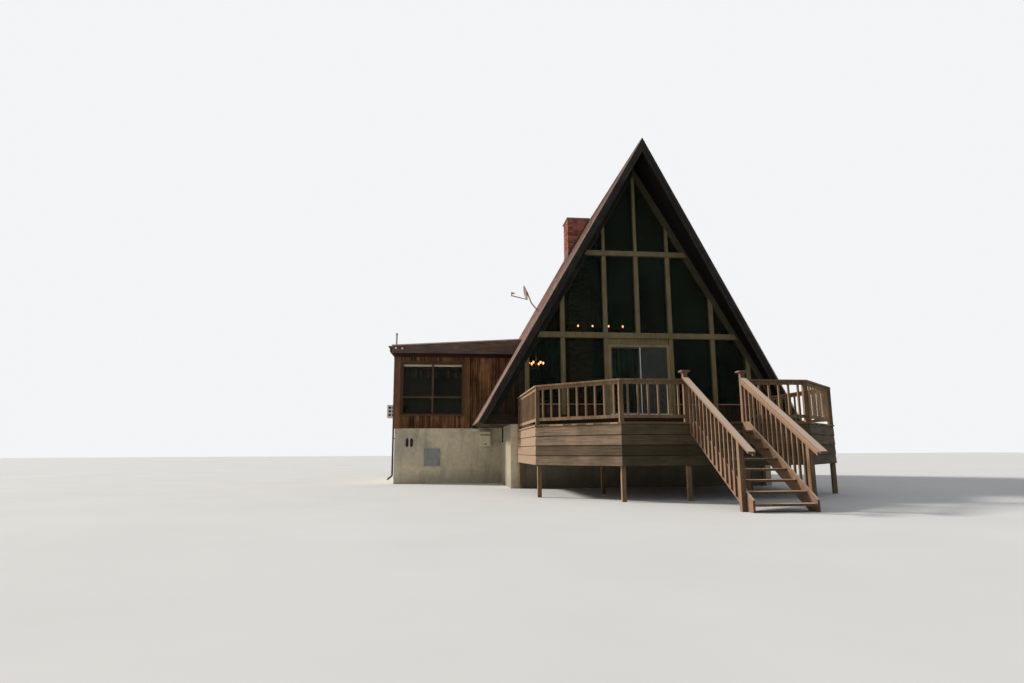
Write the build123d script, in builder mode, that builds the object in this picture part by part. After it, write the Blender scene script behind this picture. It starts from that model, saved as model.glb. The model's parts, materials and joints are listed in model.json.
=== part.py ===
"""A-frame cabin with a glazed gable, a six-sided timber deck and a flat-roofed side wing.

Millimetres. +Z is up and +Y runs from the glazed gable to the back of the house.
The origin is on the ridge line, in the middle of the front foundation wall, at the lowest ground level.
"""
from build123d import *
from math import atan2, cos, degrees, hypot, radians, sin, tan
import os

# Foundation and floor
found_top = 1780.0
floor_out = 940.0
masonry_t = 200.0
floor_t = 270.0
house_len = 9100.0

# Roof of the A frame
roof_pitch = 60.0
soffit_apex = 9760.0
roof_t = 190.0
eave_clear = 3.0
front_over_eave = 225.0
front_over_peak = 1130.0
rear_over = 420.0
rake_t = 60.0
rake_depth = 190.0
rake_trim_h = 95.0
rake_trim_t = 22.0
shingle_lip = 14.0

# Glazed gable
frame_t = 140.0
rafter_depth = 170.0
post_w = 130.0
top_post_w = 90.0
corner_post_in = 905.0
outer_bay = 1066.0
lower_beam_h = 160.0
upper_beam_down = 2850.0
upper_beam_h = 145.0
beam_proud = 35.0
panel_h = 310.0
panel_t = 60.0
glass_t = 20.0
base_board_t = 28.0

# Sliding patio door
sill_up = 33.0
door_w = 1848.0
door_h = 1962.0
door_header_h = 190.0
door_header_gap = 1.5
door_frame_w = 70.0
door_frame_t = 110.0
door_inset = 12.0
sash_w = 42.0
sash_t = 34.0
meet_lap = 50.0
run_gap = 5.0
track_gap = 8.0
rail_w = 8.0
seat_gap = 0.3
handle_h = 260.0
handle_w = 28.0
handle_t = 26.0

# Wing
wing_reach = 2530.0
wing_setback = 3100.0
wing_len = 4800.0
wing_wall_h = 2220.0
wall_t = 140.0
wing_over = 250.0
wing_side_over = 110.0
wing_roof_t = 190.0
wing_roof_rise = 3.44
fascia_t = 30.0
fascia_drop = 50.0
fascia_up = 25.0
wing_win_in = 1205.0
wing_win_lights = 2
win_w = 2050.0
win_h = 1750.0
win_sill_up = 150.0
sash_bar = 60.0
win_frame_t = 90.0
win_rail_up = 600.0
passage_setback = 2000.0
passage_w = 900.0
passage_h = 2000.0

# Back gable windows
back_win_x = 1500.0
back_win_w = 1200.0
back_win_h = 1300.0
back_win_up = 750.0
loft_win_w = 1100.0
loft_win_h = 1100.0
loft_win_up = 3550.0

# Chimney
chimney_w = 830.0
chimney_d = 800.0
chimney_x = -625.0
chimney_setback = 5000.0
chimney_down = 260.0
flue = 300.0
cap_t = 60.0
cap_over = 40.0

# Deck
deck_down = 435.0
deck_inset = 187.0
deck_front_half = 2078.0
deck_depth = 5080.0
chamfer_start = 3490.0
board_t = 38.0
nosing = 12.0
joist_h = 235.0
joist_t = 60.0
joist_pitch = 620.0
joist_in_t = 42.0
joist_gap = 1.5
skirt_t = 26.0
skirt_h = 863.0
skirt_courses = 4
skirt_lap = 12.0
deck_post = 90.0
post_clear = 20.0
inner_post_row = 2600.0
inner_post_bay = 3

# Railings
rail_h = 912.0
newel = 90.0
newel_in = 20.0
cap_rail_w = 130.0
cap_rail_t = 38.0
sub_rail_h = 70.0
sub_rail_t = 40.0
bottom_rail_h = 70.0
bottom_rail_up = 90.0
baluster = 38.0
baluster_pitch = 215.0

# Stair
stair_half = 638.0
foot_rise = 143.0
going = 300.0
first_going = 420.0
treads_n = 8
tread_t = 40.0
tread_d = 285.0
stringer_t = 40.0
stringer_h = 320.0
stringer_over = 55.0
foot_back = 12.0
bottom_newel_back = 262.0
newel_cap = 200.0
newel_cap_t = 30.0
newel_neck_h = 45.0
newel_over_rail = 110.0
stair_rail_top = 945.0
stair_rail_end_h = 867.0
stair_rail_past = 160.0
stair_rail_trim = 60.0
baluster_up = 60.0
baluster_top_gap = 120.0
baluster_foot_gap = 90.0
stair_balusters = 13
door_step_d = 340.0
door_step_w = 1720.0
door_step_nosing = 25.0

# Fittings on the house
dish_d = 460.0
dish_t = 8.0
dish_depth = 52.0
dish_setback = 2000.0
dish_foot_z = 5500.0
dish_out = 390.0
dish_lift = 650.0
dish_lean = 11.0
dish_foot = 130.0
dish_foot_t = 12.0
dish_hub_d = 90.0
dish_hub_t = 24.0
mast_d = 42.0
mast_bend = 120.0
mast_elbow_out = 240.0
mast_elbow_up = 290.0
lnb_reach = 500.0
lnb_rise = 120.0
lnb_arm_w = 24.0
lnb_arm_h = 30.0
lnb_stub_h = 130.0
lnb_stub_d = 34.0
lnb_d = 64.0
lnb_len = 110.0
ac_w = 560.0
ac_h = 420.0
ac_proud = 300.0
ac_up = 90.0
ac_setback = 420.0
ac_corner = 12.0
ac_slot_w = 80.0
ac_slot_h = 70.0
ac_slot_t = 30.0
ac_slot_pitch = 120.0
ac_slots = 3
meter_w = 350.0
meter_h = 520.0
meter_d = 170.0
meter_in = 412.0
meter_down = 75.0
hatch_w = 520.0
hatch_h = 550.0
hatch_t = 30.0
hatch_in = 1220.0
hatch_z = 560.0
pipe_d = 60.0
pipe_gap = 20.0
pipe_setback = 60.0
pipe_foot_z = 260.0
pipe_kick_out = 150.0
pipe_kick_down = 120.0
pipe_bend = 70.0
pipe_strap_h = 30.0
pipe_strap_up = 250.0
pipe_strap_down = 350.0
pole_d = 52.0
pole_h = 430.0
pole_in = 110.0
pole_setback = 115.0
pole_collar_d = 150.0
pole_collar_t = 16.0
pole_hood_d = 84.0
pole_hood_h = 60.0

# Derived levels and lines
face_y = -masonry_t / 2
back_y = face_y + house_len
floor_top = found_top + floor_t
slope = tan(radians(roof_pitch))
roof_drop = roof_t / cos(radians(roof_pitch))
ridge_z = soffit_apex + roof_drop
eave_z = found_top + eave_clear + roof_t * cos(radians(roof_pitch))
eave_half = (ridge_z - eave_z) / slope
found_half = eave_half - floor_out
roof_back = back_y + rear_over
sill_z = floor_top + sill_up
head_z = sill_z + door_h
deck_top = floor_top - deck_down
deck_half = found_half - deck_inset
wing_left = eave_half + wing_reach
wing_front = face_y + wing_setback
wing_back = wing_front + wing_len
wing_wall_top = floor_top + wing_wall_h
wing_roof_edge = wing_wall_top + wing_roof_t
chimney_top = ridge_z - chimney_down

os.makedirs("parts", exist_ok=True)


def section(y: float) -> Plane:
    """Upright plane across the house at y, with +X to the right and +Z up."""
    return Plane.XZ.offset(-y)


def slope_z(x: float, depth: float) -> float:
    """Height of the line that lies depth inside the outer roof surface, at x."""
    return ridge_z - depth / cos(radians(roof_pitch)) - abs(x) * slope


def slope_x(z: float, depth: float) -> float:
    """Half width of the line that lies depth inside the outer roof surface, at z."""
    return (ridge_z - depth / cos(radians(roof_pitch)) - z) / slope


def eave_point(depth: float, side: int) -> tuple:
    """Corner of the square-cut eave, depth inside the outer roof surface."""
    return (
        side * (eave_half - depth * sin(radians(roof_pitch))),
        eave_z - depth * cos(radians(roof_pitch)),
    )


def slope_band(side: int, outer: float, inner: float) -> list:
    """Outline of a layer of one roof slope, from the ridge down to the eave."""
    return [
        (0, slope_z(0, outer)),
        eave_point(outer, side),
        eave_point(inner, side),
        (0, slope_z(0, inner)),
    ]


def tier(z0: float, z1: float, depth: float) -> list:
    """Outline of a gable field between two levels, up to the sloping line at depth."""
    top = min(z1, slope_z(0, depth))
    half0, half1 = slope_x(z0, depth), slope_x(top, depth)
    if half1 < 1:
        return [(-half0, z0), (half0, z0), (0, top)]
    return [(-half0, z0), (half0, z0), (half1, top), (-half1, top)]


def save(piece: BuildPart, name: str) -> None:
    """Label a finished piece and write it under its own name."""
    piece.part.label = name
    export_step(piece.part, f"parts/{name}.step")


# The front edge of both slopes leans out from the eaves to the peak.
rake_foot = (face_y - front_over_eave, eave_z)
rake_head = (face_y - front_over_peak, ridge_z)
rake_plane = Plane(
    origin=(0, rake_foot[0], rake_foot[1]),
    x_dir=(1, 0, 0),
    z_dir=(0, rake_foot[1] - rake_head[1], rake_head[0] - rake_foot[0]),
)
slab_plane = rake_plane.offset(-rake_t)
slab_len = roof_back - rake_head[0] + front_over_peak

# Foundation walls
side_len = house_len - 2 * masonry_t
side_mid = (face_y + back_y) / 2
wing_found = (wing_left - found_half, -(wing_left + found_half) / 2)
found_walls = {
    "foundation_front": [(0, face_y + masonry_t / 2, 2 * found_half, masonry_t)],
    "foundation_back": [(0, back_y - masonry_t / 2, 2 * found_half, masonry_t)],
    "foundation_sides": [
        (side * (found_half - masonry_t / 2), side_mid, masonry_t, side_len) for side in (-1, 1)
    ],
    "wing_foundation_front": [(wing_found[1], wing_front + masonry_t / 2, wing_found[0], masonry_t)],
    "wing_foundation_back": [(wing_found[1], wing_back - masonry_t / 2, wing_found[0], masonry_t)],
    "wing_foundation_left": [
        (-wing_left + masonry_t / 2, (wing_front + wing_back) / 2, masonry_t, wing_len - 2 * masonry_t)
    ],
}
for wall_name, runs in found_walls.items():
    with BuildPart() as wall:
        with BuildSketch():
            for wx, wy, wide, deep in runs:
                with Locations((wx, wy)):
                    Rectangle(wide, deep)
        extrude(amount=found_top)
    save(wall, wall_name)

# Main floor, cantilevered over the side walls out to the roof
with BuildPart() as main_floor:
    with BuildSketch(section(face_y)):
        with BuildLine():
            Polyline(
                (-slope_x(found_top, roof_t), found_top),
                (slope_x(found_top, roof_t), found_top),
                (slope_x(floor_top, roof_t), floor_top),
                (-slope_x(floor_top, roof_t), floor_top),
                close=True,
            )
        make_face()
    extrude(amount=-house_len)
save(main_floor, "main_floor")

# Roof slopes, with the chimney's hole and the way into the wing on the left
passage_y = wing_front + passage_setback
passage_out = slope_x(floor_top, 0) + roof_t
passage_in = slope_x(floor_top + passage_h, roof_t) - roof_t
for side, name in ((-1, "roof_left"), (1, "roof_right")):
    with BuildPart() as roof:
        with BuildSketch(section(roof_back)):
            with BuildLine():
                Polyline(*slope_band(side, 0, roof_t), close=True)
            make_face()
        extrude(amount=slab_len)
        split(bisect_by=slab_plane, keep=Keep.BOTTOM)
        if side < 0:
            with BuildSketch(Plane.XY.offset(floor_top)):
                with Locations((chimney_x, face_y + chimney_setback + chimney_d / 2)):
                    Rectangle(chimney_w, chimney_d)
            extrude(amount=ridge_z - floor_top, mode=Mode.SUBTRACT)
            with BuildSketch(Plane.XY.offset(floor_top)):
                with Locations((-(passage_out + passage_in) / 2, passage_y)):
                    Rectangle(passage_out - passage_in, passage_w)
            extrude(amount=passage_h, mode=Mode.SUBTRACT)
    save(roof, name)

# Rake boards on both ends of each slope
for side, name in ((-1, "rake_boards_left"), (1, "rake_boards_right")):
    with BuildPart() as rake:
        with BuildSketch(section(roof_back)):
            with BuildLine():
                Polyline(
                    *slope_band(side, shingle_lip, shingle_lip + rake_depth),
                    close=True,
                )
            make_face()
        extrude(amount=slab_len)
        split(bisect_by=rake_plane, keep=Keep.BOTTOM)
        split(bisect_by=slab_plane, keep=Keep.TOP)
        with BuildSketch(section(roof_back)):
            with BuildLine():
                Polyline(
                    *slope_band(side, shingle_lip, shingle_lip + rake_depth),
                    close=True,
                )
            make_face()
        extrude(amount=-rake_t)
        with BuildSketch(section(roof_back + rake_t)):
            with BuildLine():
                Polyline(
                    *slope_band(side, shingle_lip + rake_trim_h, shingle_lip + rake_depth),
                    close=True,
                )
            make_face()
        extrude(amount=rake_trim_t, mode=Mode.SUBTRACT)
        with BuildPart(mode=Mode.SUBTRACT):
            with BuildSketch(section(face_y)):
                with BuildLine():
                    Polyline(
                        *slope_band(side, shingle_lip + rake_trim_h, shingle_lip + rake_depth),
                        close=True,
                    )
                make_face()
            extrude(amount=front_over_peak + rake_t)
            split(bisect_by=rake_plane.offset(-rake_trim_t), keep=Keep.TOP)
    save(rake, name)

# Timbers of the glazed gable
wall_line = roof_t + rafter_depth
for side, name in ((-1, "gable_rafter_left"), (1, "gable_rafter_right")):
    with BuildPart() as rafter:
        with BuildSketch(section(face_y)):
            with BuildLine():
                Polyline(
                    (0, slope_z(0, roof_t)),
                    (side * slope_x(floor_top, roof_t), floor_top),
                    (side * slope_x(floor_top, wall_line), floor_top),
                    (0, slope_z(0, wall_line)),
                    close=True,
                )
            make_face()
        extrude(amount=-frame_t)
    save(rafter, name)

lower_beam_low = head_z + door_frame_w + door_header_h
lower_beam = (lower_beam_low, lower_beam_low + lower_beam_h)
upper_beam_z = soffit_apex - upper_beam_down
upper_beam = (upper_beam_z - upper_beam_h / 2, upper_beam_z + upper_beam_h / 2)
with BuildPart() as beams:
    for z0, z1 in (lower_beam, upper_beam):
        with BuildSketch(section(face_y)):
            with BuildLine():
                Polyline(*tier(z0, z1, wall_line), close=True)
            make_face()
        extrude(amount=-frame_t)
        with BuildSketch(section(face_y)):
            with BuildLine():
                Polyline(*tier(z0, z1, roof_t + rafter_depth / 2), close=True)
            make_face()
        extrude(amount=beam_proud)
save(beams, "gable_beams")

# Posts, glass and panels of the gable, tier by tier
inner_post_x = (door_w + post_w) / 2
corner_post_x = slope_x(floor_top, wall_line) - corner_post_in
outer_post_x = corner_post_x - outer_bay
lower_posts = [side * x for side in (-1, 1) for x in (inner_post_x, outer_post_x, corner_post_x)]
middle_posts = [-outer_post_x, -inner_post_x, 0, inner_post_x, outer_post_x]
upper_posts = [-inner_post_x, 0, inner_post_x]
pane_sill = floor_top + panel_h
glass_y = face_y + (frame_t - glass_t) / 2
panel_y = face_y + (frame_t - panel_t) / 2
tiers = [
    (floor_top, lower_beam[0], lower_posts, post_w),
    (lower_beam[1], upper_beam[0], middle_posts, post_w),
    (upper_beam[1], ridge_z, upper_posts, top_post_w),
]
with BuildPart() as gable_posts:
    for z0, z1, xs, wide in tiers:
        with BuildSketch(section(face_y)):
            with BuildLine():
                Polyline(*tier(z0, z1, wall_line), close=True)
            make_face()
            with Locations(*[(x, z0) for x in xs]):
                Rectangle(wide, 2 * ridge_z, mode=Mode.INTERSECT)
        extrude(amount=-frame_t)
    with BuildSketch(section(panel_y)):
        with Locations((0, (head_z + door_frame_w + lower_beam[0]) / 2)):
            Rectangle(2 * inner_post_x - post_w - 2 * door_header_gap, lower_beam[0] - head_z - door_frame_w)
    extrude(amount=-panel_t)
save(gable_posts, "gable_posts")

with BuildPart() as gable_glass:
    for z0, z1, xs, wide in tiers:
        with BuildSketch(section(glass_y)):
            with BuildLine():
                Polyline(*tier(max(z0, pane_sill), z1, wall_line), close=True)
            make_face()
            with Locations(*[(x, z0) for x in xs]):
                Rectangle(wide, 2 * ridge_z, mode=Mode.SUBTRACT)
            if z0 == floor_top:
                with Locations((0, z0)):
                    Rectangle(2 * inner_post_x, 2 * ridge_z, mode=Mode.SUBTRACT)
                with Locations((0, z0)):
                    Rectangle(2 * corner_post_x, 2 * ridge_z, mode=Mode.INTERSECT)
        extrude(amount=-glass_t)
save(gable_glass, "gable_glass")

with BuildPart() as gable_panels:
    for top, inside, outside in (
        (pane_sill, inner_post_x, corner_post_x),
        (lower_beam[0], corner_post_x + post_w / 2, eave_half),
    ):
        with BuildSketch(section(panel_y)):
            with BuildLine():
                Polyline(*tier(floor_top, top, wall_line), close=True)
            make_face()
            with Locations(*[(x, floor_top) for x in lower_posts]):
                Rectangle(post_w, 2 * ridge_z, mode=Mode.SUBTRACT)
            with Locations((0, floor_top)):
                Rectangle(2 * inside, 2 * ridge_z, mode=Mode.SUBTRACT)
            with Locations((0, floor_top)):
                Rectangle(2 * outside, 2 * ridge_z, mode=Mode.INTERSECT)
        extrude(amount=-panel_t)
save(gable_panels, "gable_panels")

# Board over the floor's edge under the gable
with BuildPart() as base_board:
    with BuildSketch(section(face_y)):
        with BuildLine():
            Polyline(*tier(found_top, floor_top, roof_t), close=True)
        make_face()
    extrude(amount=base_board_t)
save(base_board, "gable_base_board")

# Sliding patio door: outer frame, fixed leaf and sliding leaf
door_half = inner_post_x - post_w / 2
clear_half = door_half - door_frame_w
track_mid = face_y + door_inset + door_frame_t / 2
fixed_y = track_mid - track_gap / 2 - sash_t
slide_y = track_mid + track_gap / 2
with BuildPart() as door_frame:
    with BuildSketch(section(face_y + door_inset)):
        with Locations((0, (floor_top + head_z + door_frame_w) / 2)):
            Rectangle(2 * door_half, head_z + door_frame_w - floor_top)
        with Locations((0, (sill_z + head_z) / 2)):
            Rectangle(2 * clear_half, head_z - sill_z, mode=Mode.SUBTRACT)
    extrude(amount=-door_frame_t)
    with BuildSketch(section(slide_y + (sash_t - rail_w) / 2)):
        with Locations((0, sill_z + (run_gap - seat_gap) / 2)):
            Rectangle(2 * clear_half, run_gap - seat_gap)
    extrude(amount=-rail_w)
save(door_frame, "door_frame")


def leaf(name: str, x0: float, x1: float, z0: float, z1: float, y: float, handle: bool) -> None:
    """One glazed leaf: an aluminium sash, with its pull where it slides, and the pane it holds."""
    mid, wide = ((x0 + x1) / 2, (z0 + z1) / 2), (x1 - x0, z1 - z0)
    with BuildPart() as sash:
        with BuildSketch(section(y)):
            with Locations(mid):
                Rectangle(*wide)
                Rectangle(wide[0] - 2 * sash_w, wide[1] - 2 * sash_w, mode=Mode.SUBTRACT)
        extrude(amount=-sash_t)
        if handle:
            with BuildSketch(section(y + sash_t)):
                with Locations((x1 - sash_w / 2, mid[1])):
                    SlotOverall(handle_h, handle_w, rotation=90)
            extrude(amount=-handle_t)
    save(sash, f"{name}_sash")
    with BuildPart() as pane:
        with BuildSketch(section(y + (sash_t - glass_t) / 2)):
            with Locations(mid):
                Rectangle(wide[0] - 2 * sash_w, wide[1] - 2 * sash_w)
        extrude(amount=-glass_t)
    save(pane, f"{name}_glass")


leaf("door_fixed", -clear_half, meet_lap / 2, sill_z, head_z, fixed_y, False)
leaf(
    "door_sliding",
    -meet_lap / 2,
    clear_half - run_gap,
    sill_z + run_gap,
    head_z - run_gap,
    slide_y,
    True,
)

# Back gable: one boarded wall with its windows cut through
back_windows = [
    (-back_win_x, floor_top + back_win_up, back_win_w, back_win_h),
    (back_win_x, floor_top + back_win_up, back_win_w, back_win_h),
    (0, floor_top + loft_win_up, loft_win_w, loft_win_h),
]
with BuildPart() as back_wall:
    with BuildSketch(section(back_y - wall_t)):
        with BuildLine():
            Polyline(*tier(floor_top, ridge_z, roof_t), close=True)
        make_face()
        for bx, bz, bw, bh in back_windows:
            with Locations((bx, bz + bh / 2)):
                Rectangle(bw, bh, mode=Mode.SUBTRACT)
    extrude(amount=-wall_t)
save(back_wall, "back_wall")


def lights(openings: list) -> list:
    """Panes of timber windows, as (x, z, width, height) for each light between the bars."""
    found = []
    for ox, oz, ow, oh, columns, rail in openings:
        pane_w = (ow - (columns + 1) * sash_bar) / columns
        edges = [oz + sash_bar, oz + oh - sash_bar]
        if rail:
            edges[1:1] = [rail - sash_bar / 2, rail + sash_bar / 2]
        for i in range(columns):
            px = ox - ow / 2 + sash_bar + pane_w / 2 + i * (pane_w + sash_bar)
            for low, high in zip(edges[::2], edges[1::2]):
                found.append((px, (low + high) / 2, pane_w, high - low))
    return found


win_sill = floor_top + win_sill_up
wing_win_x = wing_left - wing_win_in
wing_window = (-wing_win_x, win_sill, win_w, win_h, wing_win_lights, win_sill + win_rail_up)
window_rows = [
    (wing_front + (wall_t - win_frame_t) / 2, [wing_window]),
    (wing_back - (wall_t + win_frame_t) / 2, [wing_window]),
    (back_y - (wall_t + win_frame_t) / 2, [(x, z, w, h, 1, 0) for x, z, w, h in back_windows]),
]
with BuildPart() as window_frames:
    for y, openings in window_rows:
        with BuildSketch(section(y)):
            for ox, oz, ow, oh, _, _ in openings:
                with Locations((ox, oz + oh / 2)):
                    Rectangle(ow, oh)
            for px, pz, pw, ph in lights(openings):
                with Locations((px, pz)):
                    Rectangle(pw, ph, mode=Mode.SUBTRACT)
        extrude(amount=-win_frame_t)
save(window_frames, "window_frames")
with BuildPart() as window_glass:
    for y, openings in window_rows:
        with BuildSketch(section(y + (win_frame_t - glass_t) / 2)):
            for px, pz, pw, ph in lights(openings):
                with Locations((px, pz)):
                    Rectangle(pw, ph)
        extrude(amount=-glass_t)
save(window_glass, "window_glass")

# Wing: floor, three boarded walls, low roof and its fascia
wing_field = [
    (-wing_left, found_top),
    (-slope_x(found_top, 0), found_top),
    (-slope_x(wing_wall_top, 0), wing_wall_top),
    (-wing_left, wing_wall_top),
]
with BuildPart() as wing_floor:
    with BuildSketch(section(wing_front + wall_t)):
        with BuildLine():
            Polyline(
                (-wing_left + wall_t, found_top),
                (-slope_x(found_top, 0), found_top),
                (-slope_x(floor_top, 0), floor_top),
                (-wing_left + wall_t, floor_top),
                close=True,
            )
        make_face()
    extrude(amount=-(wing_len - 2 * wall_t))
save(wing_floor, "wing_floor")

for name, y in (("wing_front_wall", wing_front), ("wing_back_wall", wing_back - wall_t)):
    with BuildPart() as wing_wall:
        with BuildSketch(section(y)):
            with BuildLine():
                Polyline(*wing_field, close=True)
            make_face()
            with Locations((-wing_win_x, win_sill + win_h / 2)):
                Rectangle(win_w, win_h, mode=Mode.SUBTRACT)
        extrude(amount=-wall_t)
    save(wing_wall, name)
with BuildPart() as wing_left_wall:
    with BuildSketch(Plane.XY.offset(found_top)):
        with Locations((-wing_left + wall_t / 2, (wing_front + wing_back) / 2)):
            Rectangle(wall_t, wing_len - 2 * wall_t)
    extrude(amount=wing_wall_top - found_top)
save(wing_left_wall, "wing_left_wall")

roof_left_x = -wing_left - wing_side_over
wing_slope = tan(radians(wing_roof_rise))
meet_x = (wing_roof_edge - wing_slope * roof_left_x - ridge_z) / (slope - wing_slope)
with BuildPart() as wing_roof:
    with BuildSketch(section(wing_front - wing_over)):
        with BuildLine():
            Polyline(
                (roof_left_x, wing_wall_top),
                (-slope_x(wing_wall_top, 0), wing_wall_top),
                (meet_x, slope_z(meet_x, 0)),
                (roof_left_x, wing_roof_edge),
                close=True,
            )
        make_face()
    extrude(amount=-(wing_len + 2 * wing_over))
save(wing_roof, "wing_roof")

wing_mid_y = (wing_front + wing_back) / 2
roof_half_y = wing_len / 2 + wing_over
fascia_end = meet_x + roof_t
with BuildPart() as fascia:
    with BuildSketch(Plane.XY.offset(wing_wall_top - fascia_drop)):
        with Locations(((roof_left_x - fascia_t + fascia_end) / 2, wing_mid_y)):
            Rectangle(fascia_end - roof_left_x + fascia_t, 2 * (roof_half_y + fascia_t))
        with Locations(((roof_left_x + fascia_end) / 2, wing_mid_y)):
            Rectangle(fascia_end - roof_left_x, 2 * roof_half_y, mode=Mode.SUBTRACT)
    extrude(amount=slope_z(fascia_end, 0) - wing_wall_top + fascia_drop)
    roof_top = Plane(
        origin=(roof_left_x, wing_mid_y, wing_roof_edge + fascia_up),
        x_dir=(0, 1, 0),
        z_dir=(-sin(radians(wing_roof_rise)), 0, cos(radians(wing_roof_rise))),
    )
    split(bisect_by=roof_top, keep=Keep.BOTTOM)
    left_slope = Plane(
        origin=(-eave_half, wing_mid_y, eave_z),
        x_dir=(0, 1, 0),
        z_dir=(-sin(radians(roof_pitch)), 0, cos(radians(roof_pitch))),
    )
    split(bisect_by=left_slope, keep=Keep.TOP)
save(fascia, "wing_fascia")

# Chimney stack with a flue, and its cap
chimney_y = face_y + chimney_setback + chimney_d / 2
with BuildPart() as chimney:
    with BuildSketch(Plane.XY.offset(floor_top)):
        with Locations((chimney_x, chimney_y)):
            Rectangle(chimney_w, chimney_d)
            Rectangle(flue, flue, mode=Mode.SUBTRACT)
    extrude(amount=chimney_top - floor_top)
save(chimney, "chimney")
with BuildPart() as chimney_cap:
    with BuildSketch(Plane.XY.offset(chimney_top)):
        with Locations((chimney_x, chimney_y)):
            Rectangle(chimney_w + 2 * cap_over, chimney_d + 2 * cap_over)
            Rectangle(flue, flue, mode=Mode.SUBTRACT)
    extrude(amount=cap_t)
    chamfer(chimney_cap.faces().sort_by(Axis.Z)[-1].outer_wire().edges(), cap_t / 3)
save(chimney_cap, "chimney_cap")


# Deck: boards, joists, lapped skirt and posts down to the ground
def deck_outline(grow: float) -> list:
    """Six-sided plan of the deck, grown outwards from the skirt's face by grow."""
    run = (deck_half - deck_front_half, deck_depth - chamfer_start)
    turn = hypot(*run)
    side_shift = grow * (turn - run[1]) / run[0]
    front_shift = grow * (turn - run[0]) / run[1]
    start, front = face_y - chamfer_start, face_y - deck_depth
    return [
        (deck_half + grow, face_y),
        (deck_half + grow, start - side_shift),
        (deck_front_half + front_shift, front - grow),
        (-deck_front_half - front_shift, front - grow),
        (-deck_half - grow, start - side_shift),
        (-deck_half - grow, face_y),
    ]


with BuildPart() as deck_boards:
    with BuildSketch(Plane.XY.offset(deck_top - board_t)):
        with BuildLine():
            Polyline(*deck_outline(nosing), close=True)
        make_face()
    extrude(amount=board_t)
save(deck_boards, "deck_boards")

# Rim joists with a sawn gap at each corner, the ledger at the wall, and the joists between them
joist_z = deck_top - board_t - joist_h
rim_out, rim_in = deck_outline(-skirt_t), deck_outline(-skirt_t - joist_t)
inside = deck_half - skirt_t - joist_t
bays = int((inside - joist_t) / joist_pitch)
with BuildPart() as deck_joists:
    with BuildSketch(Plane.XY.offset(joist_z)):
        with BuildLine():
            Polyline(*rim_out, close=True)
        make_face()
        with BuildLine():
            Polyline(*rim_in, close=True)
        make_face(mode=Mode.SUBTRACT)
        for (ox, oy), (ix, iy) in zip(rim_out[1:5], rim_in[1:5]):
            with Locations(((ox + ix) / 2, (oy + iy) / 2)):
                cut = degrees(atan2(oy - iy, ox - ix))
                Rectangle(2 * joist_t, joist_gap, rotation=cut, mode=Mode.SUBTRACT)
    extrude(amount=joist_h)
    with BuildSketch(Plane.XY.offset(joist_z)):
        with Locations((0, face_y - joist_t / 2)):
            Rectangle(2 * (inside - joist_gap), joist_t)
    extrude(amount=joist_h)
    with BuildSketch(Plane.XY.offset(joist_z)):
        with BuildLine():
            Polyline(*deck_outline(-skirt_t - joist_t - joist_gap), close=True)
        make_face()
        with Locations((0, face_y - joist_t - joist_gap - deck_depth / 2)):
            Rectangle(2 * deck_half, deck_depth, mode=Mode.INTERSECT)
        with GridLocations(joist_pitch, 0, 2 * bays + 1, 1):
            Rectangle(joist_in_t, 4 * deck_depth, mode=Mode.INTERSECT)
    extrude(amount=joist_h)
save(deck_joists, "deck_joists")

skirt_bottom = deck_top - board_t - skirt_h
course_h = skirt_h / skirt_courses
with BuildPart() as deck_skirt:
    for i in range(skirt_courses):
        for up, grow in ((i * course_h, 0), ((i + 1) * course_h, -skirt_lap)):
            with BuildSketch(Plane.XY.offset(skirt_bottom + up)):
                with BuildLine():
                    Polyline(*deck_outline(grow), close=True)
                make_face()
        loft(ruled=True)
    with BuildSketch(Plane.XY.offset(skirt_bottom)):
        with BuildLine():
            Polyline(*deck_outline(-skirt_t), close=True)
        make_face()
    extrude(amount=skirt_h, mode=Mode.SUBTRACT)
save(deck_skirt, "deck_skirt")

post_in = skirt_t + deck_post / 2 + post_clear
corner_pts = deck_outline(-post_in)[1:5]
post_spots = corner_pts + [
    (-deck_half + post_in, face_y - deck_post),
    (deck_half - post_in, face_y - deck_post),
    (-stair_half, face_y - deck_depth + post_in),
    (stair_half, face_y - deck_depth + post_in),
    (-inner_post_bay * joist_pitch, face_y - inner_post_row),
    (inner_post_bay * joist_pitch, face_y - inner_post_row),
]
with BuildPart() as deck_posts:
    with BuildSketch():
        with Locations(*post_spots):
            Rectangle(deck_post, deck_post)
    extrude(amount=joist_z)
save(deck_posts, "deck_posts")

# Lines of the stair, from the deck's edge down to the lowest tread
front_edge = face_y - deck_depth
nose_y = front_edge - nosing
rise = (deck_top - foot_rise) / treads_n
pitch = rise / going
tread_front = [nose_y - first_going - i * going for i in range(treads_n)]
tread_top = [deck_top - (i + 1) * rise for i in range(treads_n)]

# Posts of the railing at every corner, at the wall, beside the stair and at its foot
rail_in = newel / 2 + newel_in
rail_pts = deck_outline(-rail_in)
rail_top = deck_top + rail_h
cap_under = rail_top - cap_rail_t
wall_end = face_y - newel / 2 - base_board_t
stair_newel_y = rail_pts[2][1]
corner_newels = [(rail_pts[0][0], wall_end)] + rail_pts[1:3]
rail_start = stair_newel_y - newel / 2
rail_foot_y = tread_front[-1] - stair_rail_past
rail_foot_z = tread_top[-1] + stair_rail_end_h
stair_slope = (deck_top + stair_rail_top - rail_foot_z) / (rail_start - rail_foot_y)
bottom_newel_y = tread_front[-1] + bottom_newel_back
cap_drop = cap_rail_t * hypot(1, stair_slope)


def stair_cap_z(y: float) -> float:
    """Top of the stair's sloping cap rail at y."""
    return rail_foot_z + (y - rail_foot_y) * stair_slope


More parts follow.
